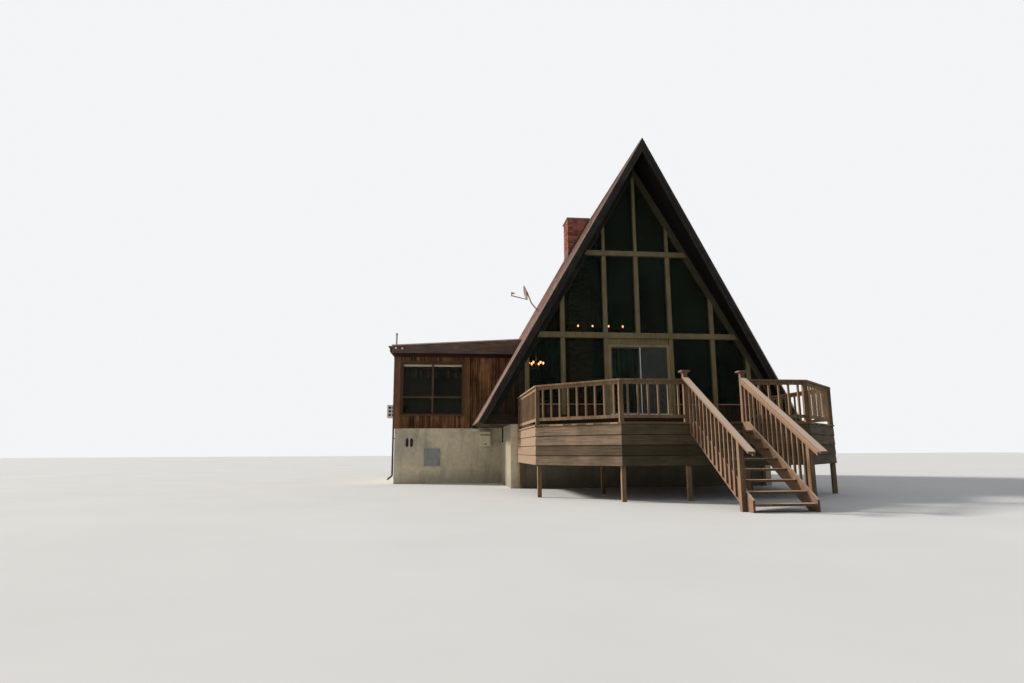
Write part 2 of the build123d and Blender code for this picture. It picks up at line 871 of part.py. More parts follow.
with BuildPart() as newels:
    with BuildSketch(Plane.XY.offset(deck_top)):
        with Locations(*corner_newels):
            Rectangle(newel, newel)
    extrude(amount=cap_under - deck_top)
    with BuildSketch(Plane.XY.offset(deck_top)):
        with Locations((stair_half, stair_newel_y)):
            Rectangle(newel, newel)
    extrude(amount=rail_h + newel_over_rail)
    neck_z = rail_top + newel_over_rail
    for up, wide in ((0, newel), (newel_neck_h, newel_cap - newel_cap_t)):
        with BuildSketch(Plane.XY.offset(neck_z + up)):
            with Locations((stair_half, stair_newel_y)):
                Rectangle(wide, wide)
    loft(ruled=True)
    with BuildSketch(Plane.XY.offset(neck_z + newel_neck_h)):
        with Locations((stair_half, stair_newel_y)):
            Rectangle(newel_cap, newel_cap)
    extrude(amount=newel_cap_t, taper=18)
    with BuildSketch(Plane.YZ.offset(stair_half - newel / 2)):
        with BuildLine():
            y0, y1 = bottom_newel_y - newel / 2, bottom_newel_y + newel / 2
            Polyline(
                (y0, 0),
                (y1, 0),
                (y1, stair_cap_z(y1) - cap_drop),
                (y0, stair_cap_z(y0) - cap_drop),
                close=True,
            )
        make_face()
    extrude(amount=newel)
    mirror(about=Plane.YZ)
save(newels, "newel_posts")


def rail_panel(name: str, start: tuple, end: tuple, cap: list) -> None:
    """Railing between two posts and its mirror image: cap, two rails and square balusters."""
    dx, dy = end[0] - start[0], end[1] - start[1]
    length = hypot(dx, dy)
    span = length - newel
    mid = ((start[0] + end[0]) / 2, (start[1] + end[1]) / 2, deck_top)
    frame = Plane(origin=mid, x_dir=(dx, dy, 0), z_dir=(0, 0, 1))
    count = max(2, int(span / baluster_pitch))
    with BuildPart() as panel:
        with BuildSketch(Plane.XY.offset(cap_under)):
            with BuildLine():
                Polyline(*cap, close=True)
            make_face()
        extrude(amount=cap_rail_t)
        for low, high in (
            (rail_h - cap_rail_t - sub_rail_h, rail_h - cap_rail_t),
            (bottom_rail_up, bottom_rail_up + bottom_rail_h),
        ):
            with BuildSketch(frame.offset(low)):
                Rectangle(length, sub_rail_t)
            extrude(amount=high - low)
        with BuildSketch(frame.offset(bottom_rail_up)):
            with GridLocations(span / count, 0, count, 1):
                Rectangle(baluster, baluster)
        extrude(amount=rail_h - cap_rail_t - bottom_rail_up)
        with BuildSketch(Plane.XY.offset(deck_top)):
            with Locations(start, end):
                Rectangle(newel, newel)
        extrude(amount=rail_h - cap_rail_t, mode=Mode.SUBTRACT)
        mirror(about=Plane.YZ)
    save(panel, name)


cap_out = deck_outline(-rail_in + cap_rail_w / 2)
cap_in = deck_outline(-rail_in - cap_rail_w / 2)
stair_stop = stair_half + cap_rail_w / 2
rail_panel("railing_sides", corner_newels[0], corner_newels[1], [cap_out[0], cap_out[1], cap_in[1], cap_in[0]])
rail_panel("railing_corners", corner_newels[1], corner_newels[2], [cap_out[1], cap_out[2], cap_in[2], cap_in[1]])
rail_panel(
    "railing_fronts",
    corner_newels[2],
    (stair_half, stair_newel_y),
    [cap_out[2], (stair_stop, cap_out[2][1]), (stair_stop, cap_in[2][1]), cap_in[2]],
)

# Stair: two closed stringers, open treads and a sloping rail on each side
stringer_drop = stringer_h * hypot(1, pitch)
stringer_x = stair_half - newel / 2


def stringer_z(y: float) -> float:
    """Upper edge of the stringers at y."""
    return tread_top[0] + stringer_over + (y - tread_front[0]) * pitch


foot_y = tread_front[-1] + foot_back
low_y = tread_front[0] + (stringer_drop - tread_top[0] - stringer_over) / pitch
level_y = min(nose_y, tread_front[0] + (rise - stringer_over) / pitch)
with BuildPart() as stringers:
    with BuildSketch(Plane.YZ.offset(stringer_x - stringer_t)):
        with BuildLine():
            Polyline(
                (level_y, deck_top),
                (nose_y, deck_top),
                (nose_y, deck_top - board_t),
                (front_edge, deck_top - board_t),
                (front_edge, stringer_z(front_edge) - stringer_drop),
                (low_y, 0),
                (foot_y, 0),
                (foot_y, stringer_z(foot_y)),
                close=True,
            )
        make_face()
    extrude(amount=stringer_t)
    mirror(about=Plane.YZ)
save(stringers, "stair_stringers")

with BuildPart() as treads:
    for y, z in zip(tread_front, tread_top):
        with BuildSketch(Plane.XY.offset(z - tread_t)):
            with Locations((0, y + tread_d / 2)):
                Rectangle(2 * (stringer_x - stringer_t), tread_d)
        extrude(amount=tread_t)
save(treads, "stair_treads")

first_baluster = rail_start - baluster_top_gap
last_baluster = bottom_newel_y + newel / 2 + baluster_foot_gap
sub_rail_foot = rail_foot_y + stair_rail_trim
with BuildPart() as stair_rails:
    with BuildSketch(Plane.YZ.offset(stringer_x - sub_rail_t)):
        with BuildLine():
            Polyline(
                (rail_start, stair_cap_z(rail_start) - cap_drop),
                (rail_start, stair_cap_z(rail_start) - cap_drop - sub_rail_h),
                (sub_rail_foot, stair_cap_z(sub_rail_foot) - cap_drop - sub_rail_h),
                (sub_rail_foot, stair_cap_z(sub_rail_foot) - cap_drop),
                close=True,
            )
        make_face()
    extrude(amount=sub_rail_t)
    with BuildSketch(Plane.YZ.offset(stair_half - cap_rail_w / 2)):
        with BuildLine():
            Polyline(
                (rail_start, stair_cap_z(rail_start)),
                (rail_start, stair_cap_z(rail_start) - cap_drop),
                (rail_foot_y, stair_cap_z(rail_foot_y) - cap_drop),
                (rail_foot_y, stair_cap_z(rail_foot_y)),
                close=True,
            )
        make_face()
    extrude(amount=cap_rail_w)
    with BuildSketch(Plane.YZ.offset(stringer_x)):
        step = (first_baluster - last_baluster) / (stair_balusters - 1)
        for i in range(stair_balusters):
            by = last_baluster + i * step
            low = stringer_z(by) - stringer_drop + baluster_up
            high = stair_cap_z(by) - cap_drop
            with Locations((by, (low + high) / 2)):
                Rectangle(baluster, high - low)
    extrude(amount=baluster)
    mirror(about=Plane.YZ)
save(stair_rails, "stair_railings")

# Step at the patio door: a boxed step under a board with a nosing
step_h = (floor_top - deck_top) / 2
with BuildPart() as door_step:
    for z, high, grow in ((deck_top, step_h - board_t, 0), (deck_top + step_h - board_t, board_t, door_step_nosing)):
        with BuildSketch(section(face_y - base_board_t)):
            with Locations((0, z + high / 2)):
                Rectangle(door_step_w + 2 * grow, high)
        extrude(amount=door_step_d + grow)
save(door_step, "door_step")

# Aerial dish on a bent mast, standing on the left slope
dish_y = face_y + dish_setback
foot_x = -slope_x(dish_foot_z, 0)
back_x, back_z = foot_x - dish_out, dish_foot_z + dish_lift
lean = radians(dish_lean)
roof_out = (-sin(radians(roof_pitch)), cos(radians(roof_pitch)))
mast_start = (foot_x + dish_foot_t * roof_out[0], dish_foot_z + dish_foot_t * roof_out[1])
dish_axis = Axis((back_x, dish_y, back_z), (-cos(lean), 0, -sin(lean)))
arm_x, arm_z = back_x + dish_hub_t, back_z - dish_d / 2
lnb_x, lnb_z = back_x - lnb_reach, arm_z + lnb_rise
with BuildPart() as dish:
    foot_plane = Plane(origin=(foot_x, dish_y, dish_foot_z), z_dir=(roof_out[0], 0, roof_out[1]))
    with BuildSketch(foot_plane):
        Rectangle(dish_foot, dish_foot)
    extrude(amount=dish_foot_t)
    with BuildLine(Plane.XZ.offset(-dish_y)):
        mast_line = FilletPolyline(
            mast_start,
            (foot_x - mast_elbow_out, dish_foot_z + mast_elbow_up),
            (back_x + dish_hub_t / 2, back_z),
            radius=mast_bend,
        )
    with BuildSketch(Plane(origin=mast_line @ 0, z_dir=mast_line % 0)):
        Circle(mast_d / 2)
    sweep()
    with BuildSketch(Plane(origin=(back_x, dish_y, back_z), x_dir=(-cos(lean), 0, -sin(lean)), z_dir=(0, -1, 0))):
        with BuildLine():
            ThreePointArc((dish_depth, dish_d / 2), (dish_depth / 4, dish_d / 4), (0, 0))
            Line((0, 0), (dish_t, 0))
            ThreePointArc((dish_t, 0), (dish_depth / 4 + dish_t, dish_d / 4), (dish_depth + dish_t, dish_d / 2))
            Line((dish_depth + dish_t, dish_d / 2), (dish_depth, dish_d / 2))
        make_face()
    revolve(axis=dish_axis)
    with BuildSketch(Plane(origin=(back_x, dish_y, back_z), z_dir=(cos(lean), 0, sin(lean))).offset(-dish_t)):
        Circle(dish_hub_d / 2)
    extrude(amount=dish_hub_t)
    with BuildSketch(Plane.XZ.offset(lnb_arm_w / 2 - dish_y)):
        with BuildLine():
            Polyline(
                (back_x, back_z),
                (arm_x, back_z),
                (arm_x, arm_z - lnb_arm_h),
                (lnb_x, lnb_z - lnb_arm_h),
                (lnb_x, lnb_z),
                (back_x, arm_z),
                close=True,
            )
        make_face()
    extrude(amount=-lnb_arm_w)
    with BuildSketch(Plane.XY.offset(lnb_z - lnb_arm_h)):
        with Locations((lnb_x, dish_y)):
            Circle(lnb_stub_d / 2)
    extrude(amount=lnb_stub_h)
    with BuildSketch(Plane.YZ.offset(lnb_x)):
        with Locations((dish_y, lnb_z + lnb_stub_h / 2)):
            Circle(lnb_d / 2)
    extrude(amount=lnb_len, taper=8)
save(dish, "satellite_dish")

# Fittings on the wing: cooler box with its outlet slots, meter box, hatch, rain pipe and service mast
ac_mid = (-wing_left - ac_proud / 2, wing_front + ac_setback + ac_w / 2)
with BuildPart() as ac_unit:
    with BuildSketch(Plane.XY.offset(floor_top + ac_up)):
        with Locations(ac_mid):
            RectangleRounded(ac_proud, ac_w, ac_corner)
    extrude(amount=ac_h)
    with BuildSketch(section(ac_mid[1] - ac_w / 2)):
        with Locations((ac_mid[0], floor_top + ac_up + ac_h / 2)):
            with GridLocations(ac_slot_pitch, ac_slot_pitch, 2, ac_slots):
                Rectangle(ac_slot_w, ac_slot_h)
    extrude(amount=-ac_slot_t, mode=Mode.SUBTRACT)
    mirror(about=Plane.XZ.offset(-ac_mid[1]), mode=Mode.INTERSECT)
save(ac_unit, "ac_unit")

with BuildPart() as meter_box:
    with BuildSketch(section(wing_front)):
        with Locations((-eave_half + meter_in, found_top - meter_down - meter_h / 2)):
            Rectangle(meter_w, meter_h)
    extrude(amount=meter_d)
    chamfer(meter_box.faces().sort_by(Axis.Y)[0].edges().sort_by(Axis.Z)[-1], meter_d / 3)
save(meter_box, "meter_box")

with BuildPart() as hatch:
    with BuildSketch(section(wing_front)):
        with Locations((-wing_left + hatch_in, hatch_z + hatch_h / 2)):
            Rectangle(hatch_w, hatch_h)
    extrude(amount=hatch_t)
save(hatch, "crawl_hatch")

pipe_x = -wing_left - pipe_gap - pipe_d / 2
pipe_y = wing_front + pipe_setback
pipe_top = wing_wall_top - fascia_drop
with BuildPart() as rain_pipe:
    with BuildLine(Plane.XZ.offset(-pipe_y)):
        pipe_line = FilletPolyline(
            (pipe_x, pipe_top),
            (pipe_x, pipe_foot_z),
            (pipe_x - pipe_kick_out, pipe_foot_z - pipe_kick_down),
            radius=pipe_bend,
        )
    with BuildSketch(Plane(origin=pipe_line @ 0, z_dir=pipe_line % 0)):
        Circle(pipe_d / 2)
    sweep()
    for z in (found_top + pipe_strap_up, found_top - pipe_strap_down, pipe_top - pipe_strap_down):
        with BuildSketch(Plane.XY.offset(z)):
            with Locations((-wing_left - (pipe_gap + pipe_d / 2) / 2, pipe_y)):
                Rectangle(pipe_gap + pipe_d / 2, pipe_d)
        extrude(amount=pipe_strap_h)
save(rain_pipe, "rain_pipe")

pole_x = roof_left_x + pole_in
pole_y = wing_front - wing_over + pole_setback
pole_z = wing_roof_edge + pole_in * wing_slope
with BuildPart() as pole:
    with BuildSketch(Plane(origin=(pole_x, pole_y, pole_z), z_dir=(-wing_slope, 0, 1))):
        Circle(pole_collar_d / 2)
    extrude(amount=pole_collar_t, taper=20)
    with BuildSketch(Plane.XY.offset(pole_z + wing_slope * pole_d)):
        with Locations((pole_x, pole_y)):
            Circle(pole_d / 2)
    extrude(amount=pole_h)
    with BuildSketch(Plane.XY.offset(pole_z + pole_h - pole_hood_h)):
        with Locations((pole_x, pole_y)):
            Circle(pole_hood_d / 2)
    extrude(amount=pole_hood_h, taper=14)
save(pole, "corner_pole")
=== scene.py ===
"""A-frame cabin: materials, roof covering, boards, bricks, trims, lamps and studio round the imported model.

Metres, +Z up, +Y from the glazed gable to the back. The origin is on the ridge line, under the middle
of the front foundation wall, at the lowest ground level.
"""
from __future__ import annotations

import json
import logging
import math
import random
from dataclasses import dataclass, field, replace
from enum import Enum
from typing import Callable, Iterable, Union

import bmesh
import bpy
from mathutils import Matrix, Vector

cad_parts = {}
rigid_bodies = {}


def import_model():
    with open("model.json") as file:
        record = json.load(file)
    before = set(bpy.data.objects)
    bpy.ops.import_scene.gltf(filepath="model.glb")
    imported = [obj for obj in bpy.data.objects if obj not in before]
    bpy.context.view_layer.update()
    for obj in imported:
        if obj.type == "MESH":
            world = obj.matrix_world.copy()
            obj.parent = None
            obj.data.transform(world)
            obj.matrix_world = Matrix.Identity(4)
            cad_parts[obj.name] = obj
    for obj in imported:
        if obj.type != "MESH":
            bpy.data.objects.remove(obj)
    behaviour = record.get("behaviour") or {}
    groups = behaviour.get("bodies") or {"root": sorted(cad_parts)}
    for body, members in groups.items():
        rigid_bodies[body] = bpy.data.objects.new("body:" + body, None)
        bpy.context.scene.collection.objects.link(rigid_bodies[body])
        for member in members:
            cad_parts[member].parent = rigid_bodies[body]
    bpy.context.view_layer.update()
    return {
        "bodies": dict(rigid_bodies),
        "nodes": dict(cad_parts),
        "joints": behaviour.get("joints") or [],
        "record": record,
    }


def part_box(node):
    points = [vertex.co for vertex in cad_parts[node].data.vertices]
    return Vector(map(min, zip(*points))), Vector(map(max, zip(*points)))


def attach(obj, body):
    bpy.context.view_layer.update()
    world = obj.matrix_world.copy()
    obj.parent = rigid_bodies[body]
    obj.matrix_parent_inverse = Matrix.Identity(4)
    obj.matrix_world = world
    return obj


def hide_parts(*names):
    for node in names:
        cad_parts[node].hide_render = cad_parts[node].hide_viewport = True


LOG = logging.getLogger("cabin")
Socket = bpy.types.NodeSocket
Value = Union[float, tuple, Socket]
Pair = tuple[float, float]
Colour = tuple[float, float, float]

HOUSE = "house"
DOOR = "patio_door"
UP = Vector((0, 0, 1))
LEFT, RIGHT = -1, 1


class Slot(Enum):
    """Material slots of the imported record."""

    MASONRY = "masonry"
    FLOOR = "floor_wood"
    SHINGLES = "shingles"
    FLAT_ROOF = "flat_roofing"
    RAKE = "rake_wood"
    GABLE = "gable_paint"
    GLASS = "glass"
    DOOR_GLASS = "door_glass"
    DOOR_METAL = "door_metal"
    SIDING = "siding"
    WINDOW = "window_wood"
    FASCIA = "fascia_wood"
    BRICK = "brick"
    CAP = "cap_stone"
    DECK = "deck_wood"
    SKIRT = "skirt_wood"
    DISH = "dish_metal"
    COOLER = "cooler_metal"
    METER = "meter_metal"
    HATCH = "hatch_metal"
    PIPE = "pipe_metal"


class Grain(Enum):
    """Direction of a timber's grain, as factors that stretch its texture."""

    X = (0.05, 1.0, 1.0)
    Y = (1.0, 0.05, 1.0)
    Z = (1.0, 1.0, 0.05)
    LEVEL = (0.05, 0.05, 1.0)
    SLOPE = (1.0, 1.0, 0.04)


@dataclass(frozen=True)
class View:
    """The photograph's camera, fitted to the house: metres, degrees and pixels."""

    place: tuple[float, float, float] = (-5.750, -18.003, 1.050)
    yaw: float = 6.272
    pitch: float = 9.791
    roll: float = -0.280
    focal_px: float = 630.1
    width_px: float = 1024.0
    sensor_mm: float = 36.0


@dataclass(frozen=True)
class Site:
    """Levels and lines of the house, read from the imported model."""

    ridge_z: float
    eave_half: float
    eave_low: float
    roof_back: float
    rake_head_y: float
    face_y: float
    back_y: float
    found_top: float
    found_half: float
    floor_top: float
    wing_left: float
    wing_front: float
    wing_back: float
    wing_top: float
    deck_top: float
    roof_t: float = 0.19
    rake_foot_y: float = -0.325
    pitch: float = math.radians(60.0)
    wall_t: float = 0.14

    @classmethod
    def read(cls) -> "Site":
        """Reads the levels from the boxes of the nodes.

        Returns:
            The filled record of levels and lines.
        """
        roof = [Vector(p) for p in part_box("roof_right")]
        wall = [Vector(p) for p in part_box("foundation_front")]
        floor = [Vector(p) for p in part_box("main_floor")]
        wing = [Vector(p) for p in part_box("wing_front_wall")]
        wing_end = Vector(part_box("wing_back_wall")[1])
        deck = Vector(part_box("deck_boards")[1])
        return cls(
            ridge_z=roof[1].z,
            eave_half=roof[1].x,
            eave_low=roof[0].z,
            roof_back=roof[1].y,
            rake_head_y=roof[0].y,
            face_y=wall[0].y,
            back_y=floor[1].y,
            found_top=wall[1].z,
            found_half=wall[1].x,
            floor_top=floor[1].z,
            wing_left=wing[0].x,
            wing_front=wing[0].y,
            wing_back=wing_end.y,
            wing_top=wing[1].z,
            deck_top=deck.z,
        )

    @property
    def slope(self) -> float:
        """Rise of the roof over its run."""
        return math.tan(self.pitch)

    @property
    def slope_len(self) -> float:
        """Length of a roof slope from the ridge to the eave."""
        return self.eave_half / math.cos(self.pitch)

    def slope_x(self, z: float, depth: float = 0.0) -> float:
        """Half width of the line that lies depth inside the outer roof surface.

        Args:
            z: Height of the line.
            depth: Distance inside the outer surface, square to it.

        Returns:
            The half width in metres.
        """
        return (self.ridge_z - depth / math.cos(self.pitch) - z) / self.slope

    def front_y(self, z: float) -> float:
        """Front edge of the roof at a height, where the peak leans out.

        Args:
            z: Height on the outer roof surface.

        Returns:
            The edge's place along Y.
        """
        eave_z = self.ridge_z - self.eave_half * self.slope
        share = (z - eave_z) / (self.ridge_z - eave_z)
        return self.rake_foot_y + share * (self.rake_head_y - self.rake_foot_y)

    def on_roof(self, side: int, down: float, y: float, lift: float = 0.0) -> Vector:
        """Point on a roof slope.

        Args:
            side: LEFT or RIGHT.
            down: Distance from the ridge, along the slope.
            y: Place along the house.
            lift: Height above the surface, square to it.

        Returns:
            The point.
        """
        run, rise = math.cos(self.pitch), math.sin(self.pitch)
        return Vector((side * (down * run + lift * rise), y, self.ridge_z - down * rise + lift * run))


def clipped(outline: list[Pair], a: float, b: float, c: float) -> list[Pair]:
    """Cuts a flat outline to the side of a line where a * x + b * y <= c.

    Args:
        outline: Corners of the outline, in order.
        a: First factor of the line.
        b: Second factor of the line.
        c: Constant of the line.

    Returns:
        The corners that are left, or an empty list.
    """
    kept: list[Pair] = []
    for start, end in zip(outline, outline[1:] + outline[:1]):
        d0 = a * start[0] + b * start[1] - c
        d1 = a * end[0] + b * end[1] - c
        if d0 <= 0:
            kept.append(start)
        if d0 * d1 < 0:
            t = d0 / (d0 - d1)
            kept.append((start[0] + t * (end[0] - start[0]), start[1] + t * (end[1] - start[1])))
    return kept if len(kept) > 2 else []


def inset(outline: list[Pair], by: float) -> list[Pair]:
    """Moves each edge of a convex outline inwards.

    Args:
        outline: Its corners, anticlockwise.
        by: How far the edges move.

    Returns:
        The corners of the smaller outline.
    """
    lines = []
    for (x0, y0), (x1, y1) in zip(outline, outline[1:] + outline[:1]):
        size = math.hypot(x1 - x0, y1 - y0)
        a, b = (y1 - y0) / size, (x0 - x1) / size
        lines.append((a, b, a * x0 + b * y0 - by))
    corners = []
    for (a, b, c), (d, e, f) in zip(lines[-1:] + lines[:-1], lines):
        scale = a * e - b * d
        corners.append(((c * e - b * f) / scale, (a * f - c * d) / scale))
    return corners


def rectangle(x0: float, x1: float, y0: float, y1: float) -> list[Pair]:
    """Outline of an upright rectangle.

    Args:
        x0: Left edge.
        x1: Right edge.
        y0: Lower edge.
        y1: Upper edge.

    Returns:
        Its four corners, anticlockwise.
    """
    return [(x0, y0), (x1, y0), (x1, y1), (x0, y1)]


@dataclass(frozen=True)
class Hole:
    """Edges of an upright rectangle on a wall: places along it and levels."""

    left: float
    right: float
    low: float
    high: float

    def grown(self, by: float) -> "Hole":
        """Makes a larger rectangle round the same middle.

        Args:
            by: How far each edge moves out.

        Returns:
            The larger rectangle.
        """
        return Hole(self.left - by, self.right + by, self.low - by, self.high + by)


@dataclass(frozen=True)
class Wall:
    """Upright wall face: its place on the axis that it looks along, and that direction."""

    spot: float
    out: Vector

    def point(self, along: float, height: float, proud: float = 0.0) -> Vector:
        """Point on the wall or in front of it.

        Args:
            along: Place along the wall.
            height: Its level.
            proud: Distance in front of the face.

        Returns:
            The point.
        """
        if self.out.x:
            return Vector((self.spot + self.out.x * proud, along, height))
        return Vector((along, self.spot + self.out.y * proud, height))


FRONT = Vector((0, -1, 0))
BACK = Vector((0, 1, 0))
WEST = Vector((-1, 0, 0))


class Graph:
    """One material's node tree, built with short calls."""

    def __init__(self, name: str) -> None:
        """Starts a material.

        Args:
            name: The material's name.
        """
        self.material = bpy.data.materials.new(name)
        self.material.use_nodes = True
        self.tree = self.material.node_tree
        self.shader = self.tree.nodes["Principled BSDF"]
        self.place: Socket = self.node("ShaderNodeTexCoord").outputs["Object"]

    def node(self, kind: str, inputs: dict | None = None, **settings: object) -> bpy.types.Node:
        """Adds a node.

        Args:
            kind: The node's type name.
            inputs: Values or sockets by input name or index.
            **settings: Properties to set on the node.

        Returns:
            The new node.
        """
        made = self.tree.nodes.new(kind)
        for key, value in settings.items():
            setattr(made, key, value)
        for key, value in (inputs or {}).items():
            self.put(made.inputs[key], value)
        return made

    def put(self, socket: Socket, value: Value) -> None:
        """Links a socket to an input, or sets the input's value.

        Args:
            socket: The input.
            value: A number, a colour, a vector or another node's output.
        """
        if isinstance(value, bpy.types.NodeSocket):
            self.tree.links.new(value, socket)
        elif isinstance(value, tuple) and socket.type == "RGBA":
            socket.default_value = (*value[:3], 1.0)
        else:
            socket.default_value = value

    def calc(self, operation: str, a: Value, b: Value = 0.0, clamp: bool = False) -> Socket:
        """Adds a Math node and returns its result.

        Args:
            operation: The node's operation.
            a: First value.
            b: Second value.
            clamp: Whether the result stays between 0 and 1.

        Returns:
            The result's socket.
        """
        return self.node("ShaderNodeMath", {0: a, 1: b}, operation=operation, use_clamp=clamp).outputs[0]

    def scaled(self, vector: Socket, scale: tuple[float, float, float]) -> Socket:
        """Stretches a vector by a factor for each axis.

        Args:
            vector: The vector.
            scale: The three factors.

        Returns:
            The stretched vector.
        """
        return self.node("ShaderNodeVectorMath", {0: vector, 1: scale}, operation="MULTIPLY").outputs[0]

    def axes(self, vector: Socket) -> tuple[Socket, Socket, Socket]:
        """Splits a vector.

        Args:
            vector: The vector.

        Returns:
            Its X, Y and Z.
        """
        found = self.node("ShaderNodeSeparateXYZ", {0: vector}).outputs
        return found[0], found[1], found[2]

    def joined(self, x: Value, y: Value, z: Value) -> Socket:
        """Joins three values to a vector.

        Args:
            x: First value.
            y: Second value.
            z: Third value.

        Returns:
            The vector.
        """
        return self.node("ShaderNodeCombineXYZ", {0: x, 1: y, 2: z}).outputs[0]

    def noise(self, vector: Socket, scale: float, detail: float = 4.0, rough: float = 0.55) -> Socket:
        """Adds a noise.

        Args:
            vector: Where it is read.
            scale: Features per metre.
            detail: Octaves.
            rough: Weight of the finer octaves.

        Returns:
            Its value, from 0 to 1.
        """
        inputs = {"Vector": vector, "Scale": scale, "Detail": detail, "Roughness": rough}
        return self.node("ShaderNodeTexNoise", inputs).outputs[0]

    def cells(self, vector: Socket, scale: float, output: str = "Color", feature: str = "F1") -> Socket:
        """Adds a Voronoi texture.

        Args:
            vector: Where it is read.
            scale: Cells per metre.
            output: Name of the output.
            feature: The texture's feature.

        Returns:
            The chosen output.
        """
        return self.node(
            "ShaderNodeTexVoronoi", {"Vector": vector, "Scale": scale}, feature=feature
        ).outputs[output]

    def ramp(self, value: Socket, *stops: tuple[float, Colour]) -> Socket:
        """Turns a value into a colour.

        Args:
            value: The value.
            *stops: Places and colours of the ramp.

        Returns:
            The colour.
        """
        made = self.node("ShaderNodeValToRGB", {0: value})
        points = made.color_ramp.elements
        while len(points) < len(stops):
            points.new(0.5)
        for point, (place, colour) in zip(points, stops):
            point.position = place
            point.color = (*colour, 1.0)
        return made.outputs[0]

    def remap(self, value: Socket, low: float, high: float, to_low: float = 0.0, to_high: float = 1.0) -> Socket:
        """Maps a range of a value to another range and holds it there.

        Args:
            value: The value.
            low: Start of the range.
            high: End of the range.
            to_low: Result at the start.
            to_high: Result at the end.

        Returns:
            The result.
        """
        inputs = {0: value, 1: low, 2: high, 3: to_low, 4: to_high}
        return self.node("ShaderNodeMapRange", inputs, clamp=True).outputs[0]

    def blend(self, share: Value, a: Value, b: Value, mode: str = "MIX") -> Socket:
        """Mixes two colours.

        Args:
            share: Weight of the second colour.
            a: First colour.
            b: Second colour.
            mode: The mix mode.

        Returns:
            The colour.
        """
        made = self.node("ShaderNodeMix", data_type="RGBA", blend_type=mode)
        self.put(made.inputs["Factor"], share)
        self.put(made.inputs[6], a)
        self.put(made.inputs[7], b)
        return made.outputs[2]

    def tone(self) -> Socket:
        """Reads the tone that each board, brick or shingle has of its own.

        Returns:
            The tone, from 0 to 1.
        """
        return self.node("ShaderNodeAttribute", attribute_name="tone").outputs["Fac"]

    def bump(self, height: Socket, depth: float, under: Socket | None = None) -> Socket:
        """Adds a bump.

        Args:
            height: Height from 0 to 1.
            depth: Depth in metres.
            under: Normal of a coarser bump.

        Returns:
            The bumped normal.
        """
        made = self.node("ShaderNodeBump", {"Height": height, "Distance": depth})
        if under is not None:
            self.put(made.inputs["Normal"], under)
        return made.outputs[0]

    def finish(self, colour: Value, rough: Value, normal: Socket | None = None, **fixed: Value) -> bpy.types.Material:
        """Connects the shader.

        Args:
            colour: Base colour.
            rough: Roughness.
            normal: Bumped normal.
            **fixed: Other inputs by name, with underscores for spaces.

        Returns:
            The material.
        """
        self.put(self.shader.inputs["Base Color"], colour)
        self.put(self.shader.inputs["Roughness"], rough)
        if normal is not None:
            self.put(self.shader.inputs["Normal"], normal)
        for key, value in fixed.items():
            self.put(self.shader.inputs[key.replace("_", " ")], value)
        return self.material


@dataclass(frozen=True)
class Timber:
    """Look of a stained or painted timber."""

    dark: Colour
    middle: Colour
    light: Colour
    grain: Grain = Grain.Z
    rough: float = 0.7
    spread: float = 0.0
    contrast: float = 1.3
    board: float = 0.0
    across: int = 0
    first: float = 0.0
    streaks: float = 0.0
    # The next colours are painted by the way a face looks: a painted highlight on top faces, painted shade on upright
    # front and east faces at the share that follows, a painted highlight on west faces, and painted shade on faces that
    # look down.
    top_highlight: Colour | None = None
    shaded: Colour | None = None
    shade: float = 0.5
    west_highlight: float = 0.45
    under: Colour | None = None
    foot: float | None = None
    dirt: Colour = (0.05, 0.045, 0.04)
    dirt_share: float = 0.3


def grain_place(g: Graph, grain: Grain) -> Socket:
    """Texture place that is stretched along the grain.

    Args:
        g: The material's graph.
        grain: Direction of the grain.

    Returns:
        The stretched place.
    """
    place = g.place
    if grain is Grain.SLOPE:
        x, y, z = g.axes(place)
        run = g.calc("ABSOLUTE", x)
        down = g.calc("SUBTRACT", g.calc("MULTIPLY", run, 0.5), g.calc("MULTIPLY", z, 0.866))
        out = g.calc("ADD", g.calc("MULTIPLY", run, 0.866), g.calc("MULTIPLY", z, 0.5))
        place = g.joined(out, y, down)
    return g.scaled(place, grain.value)


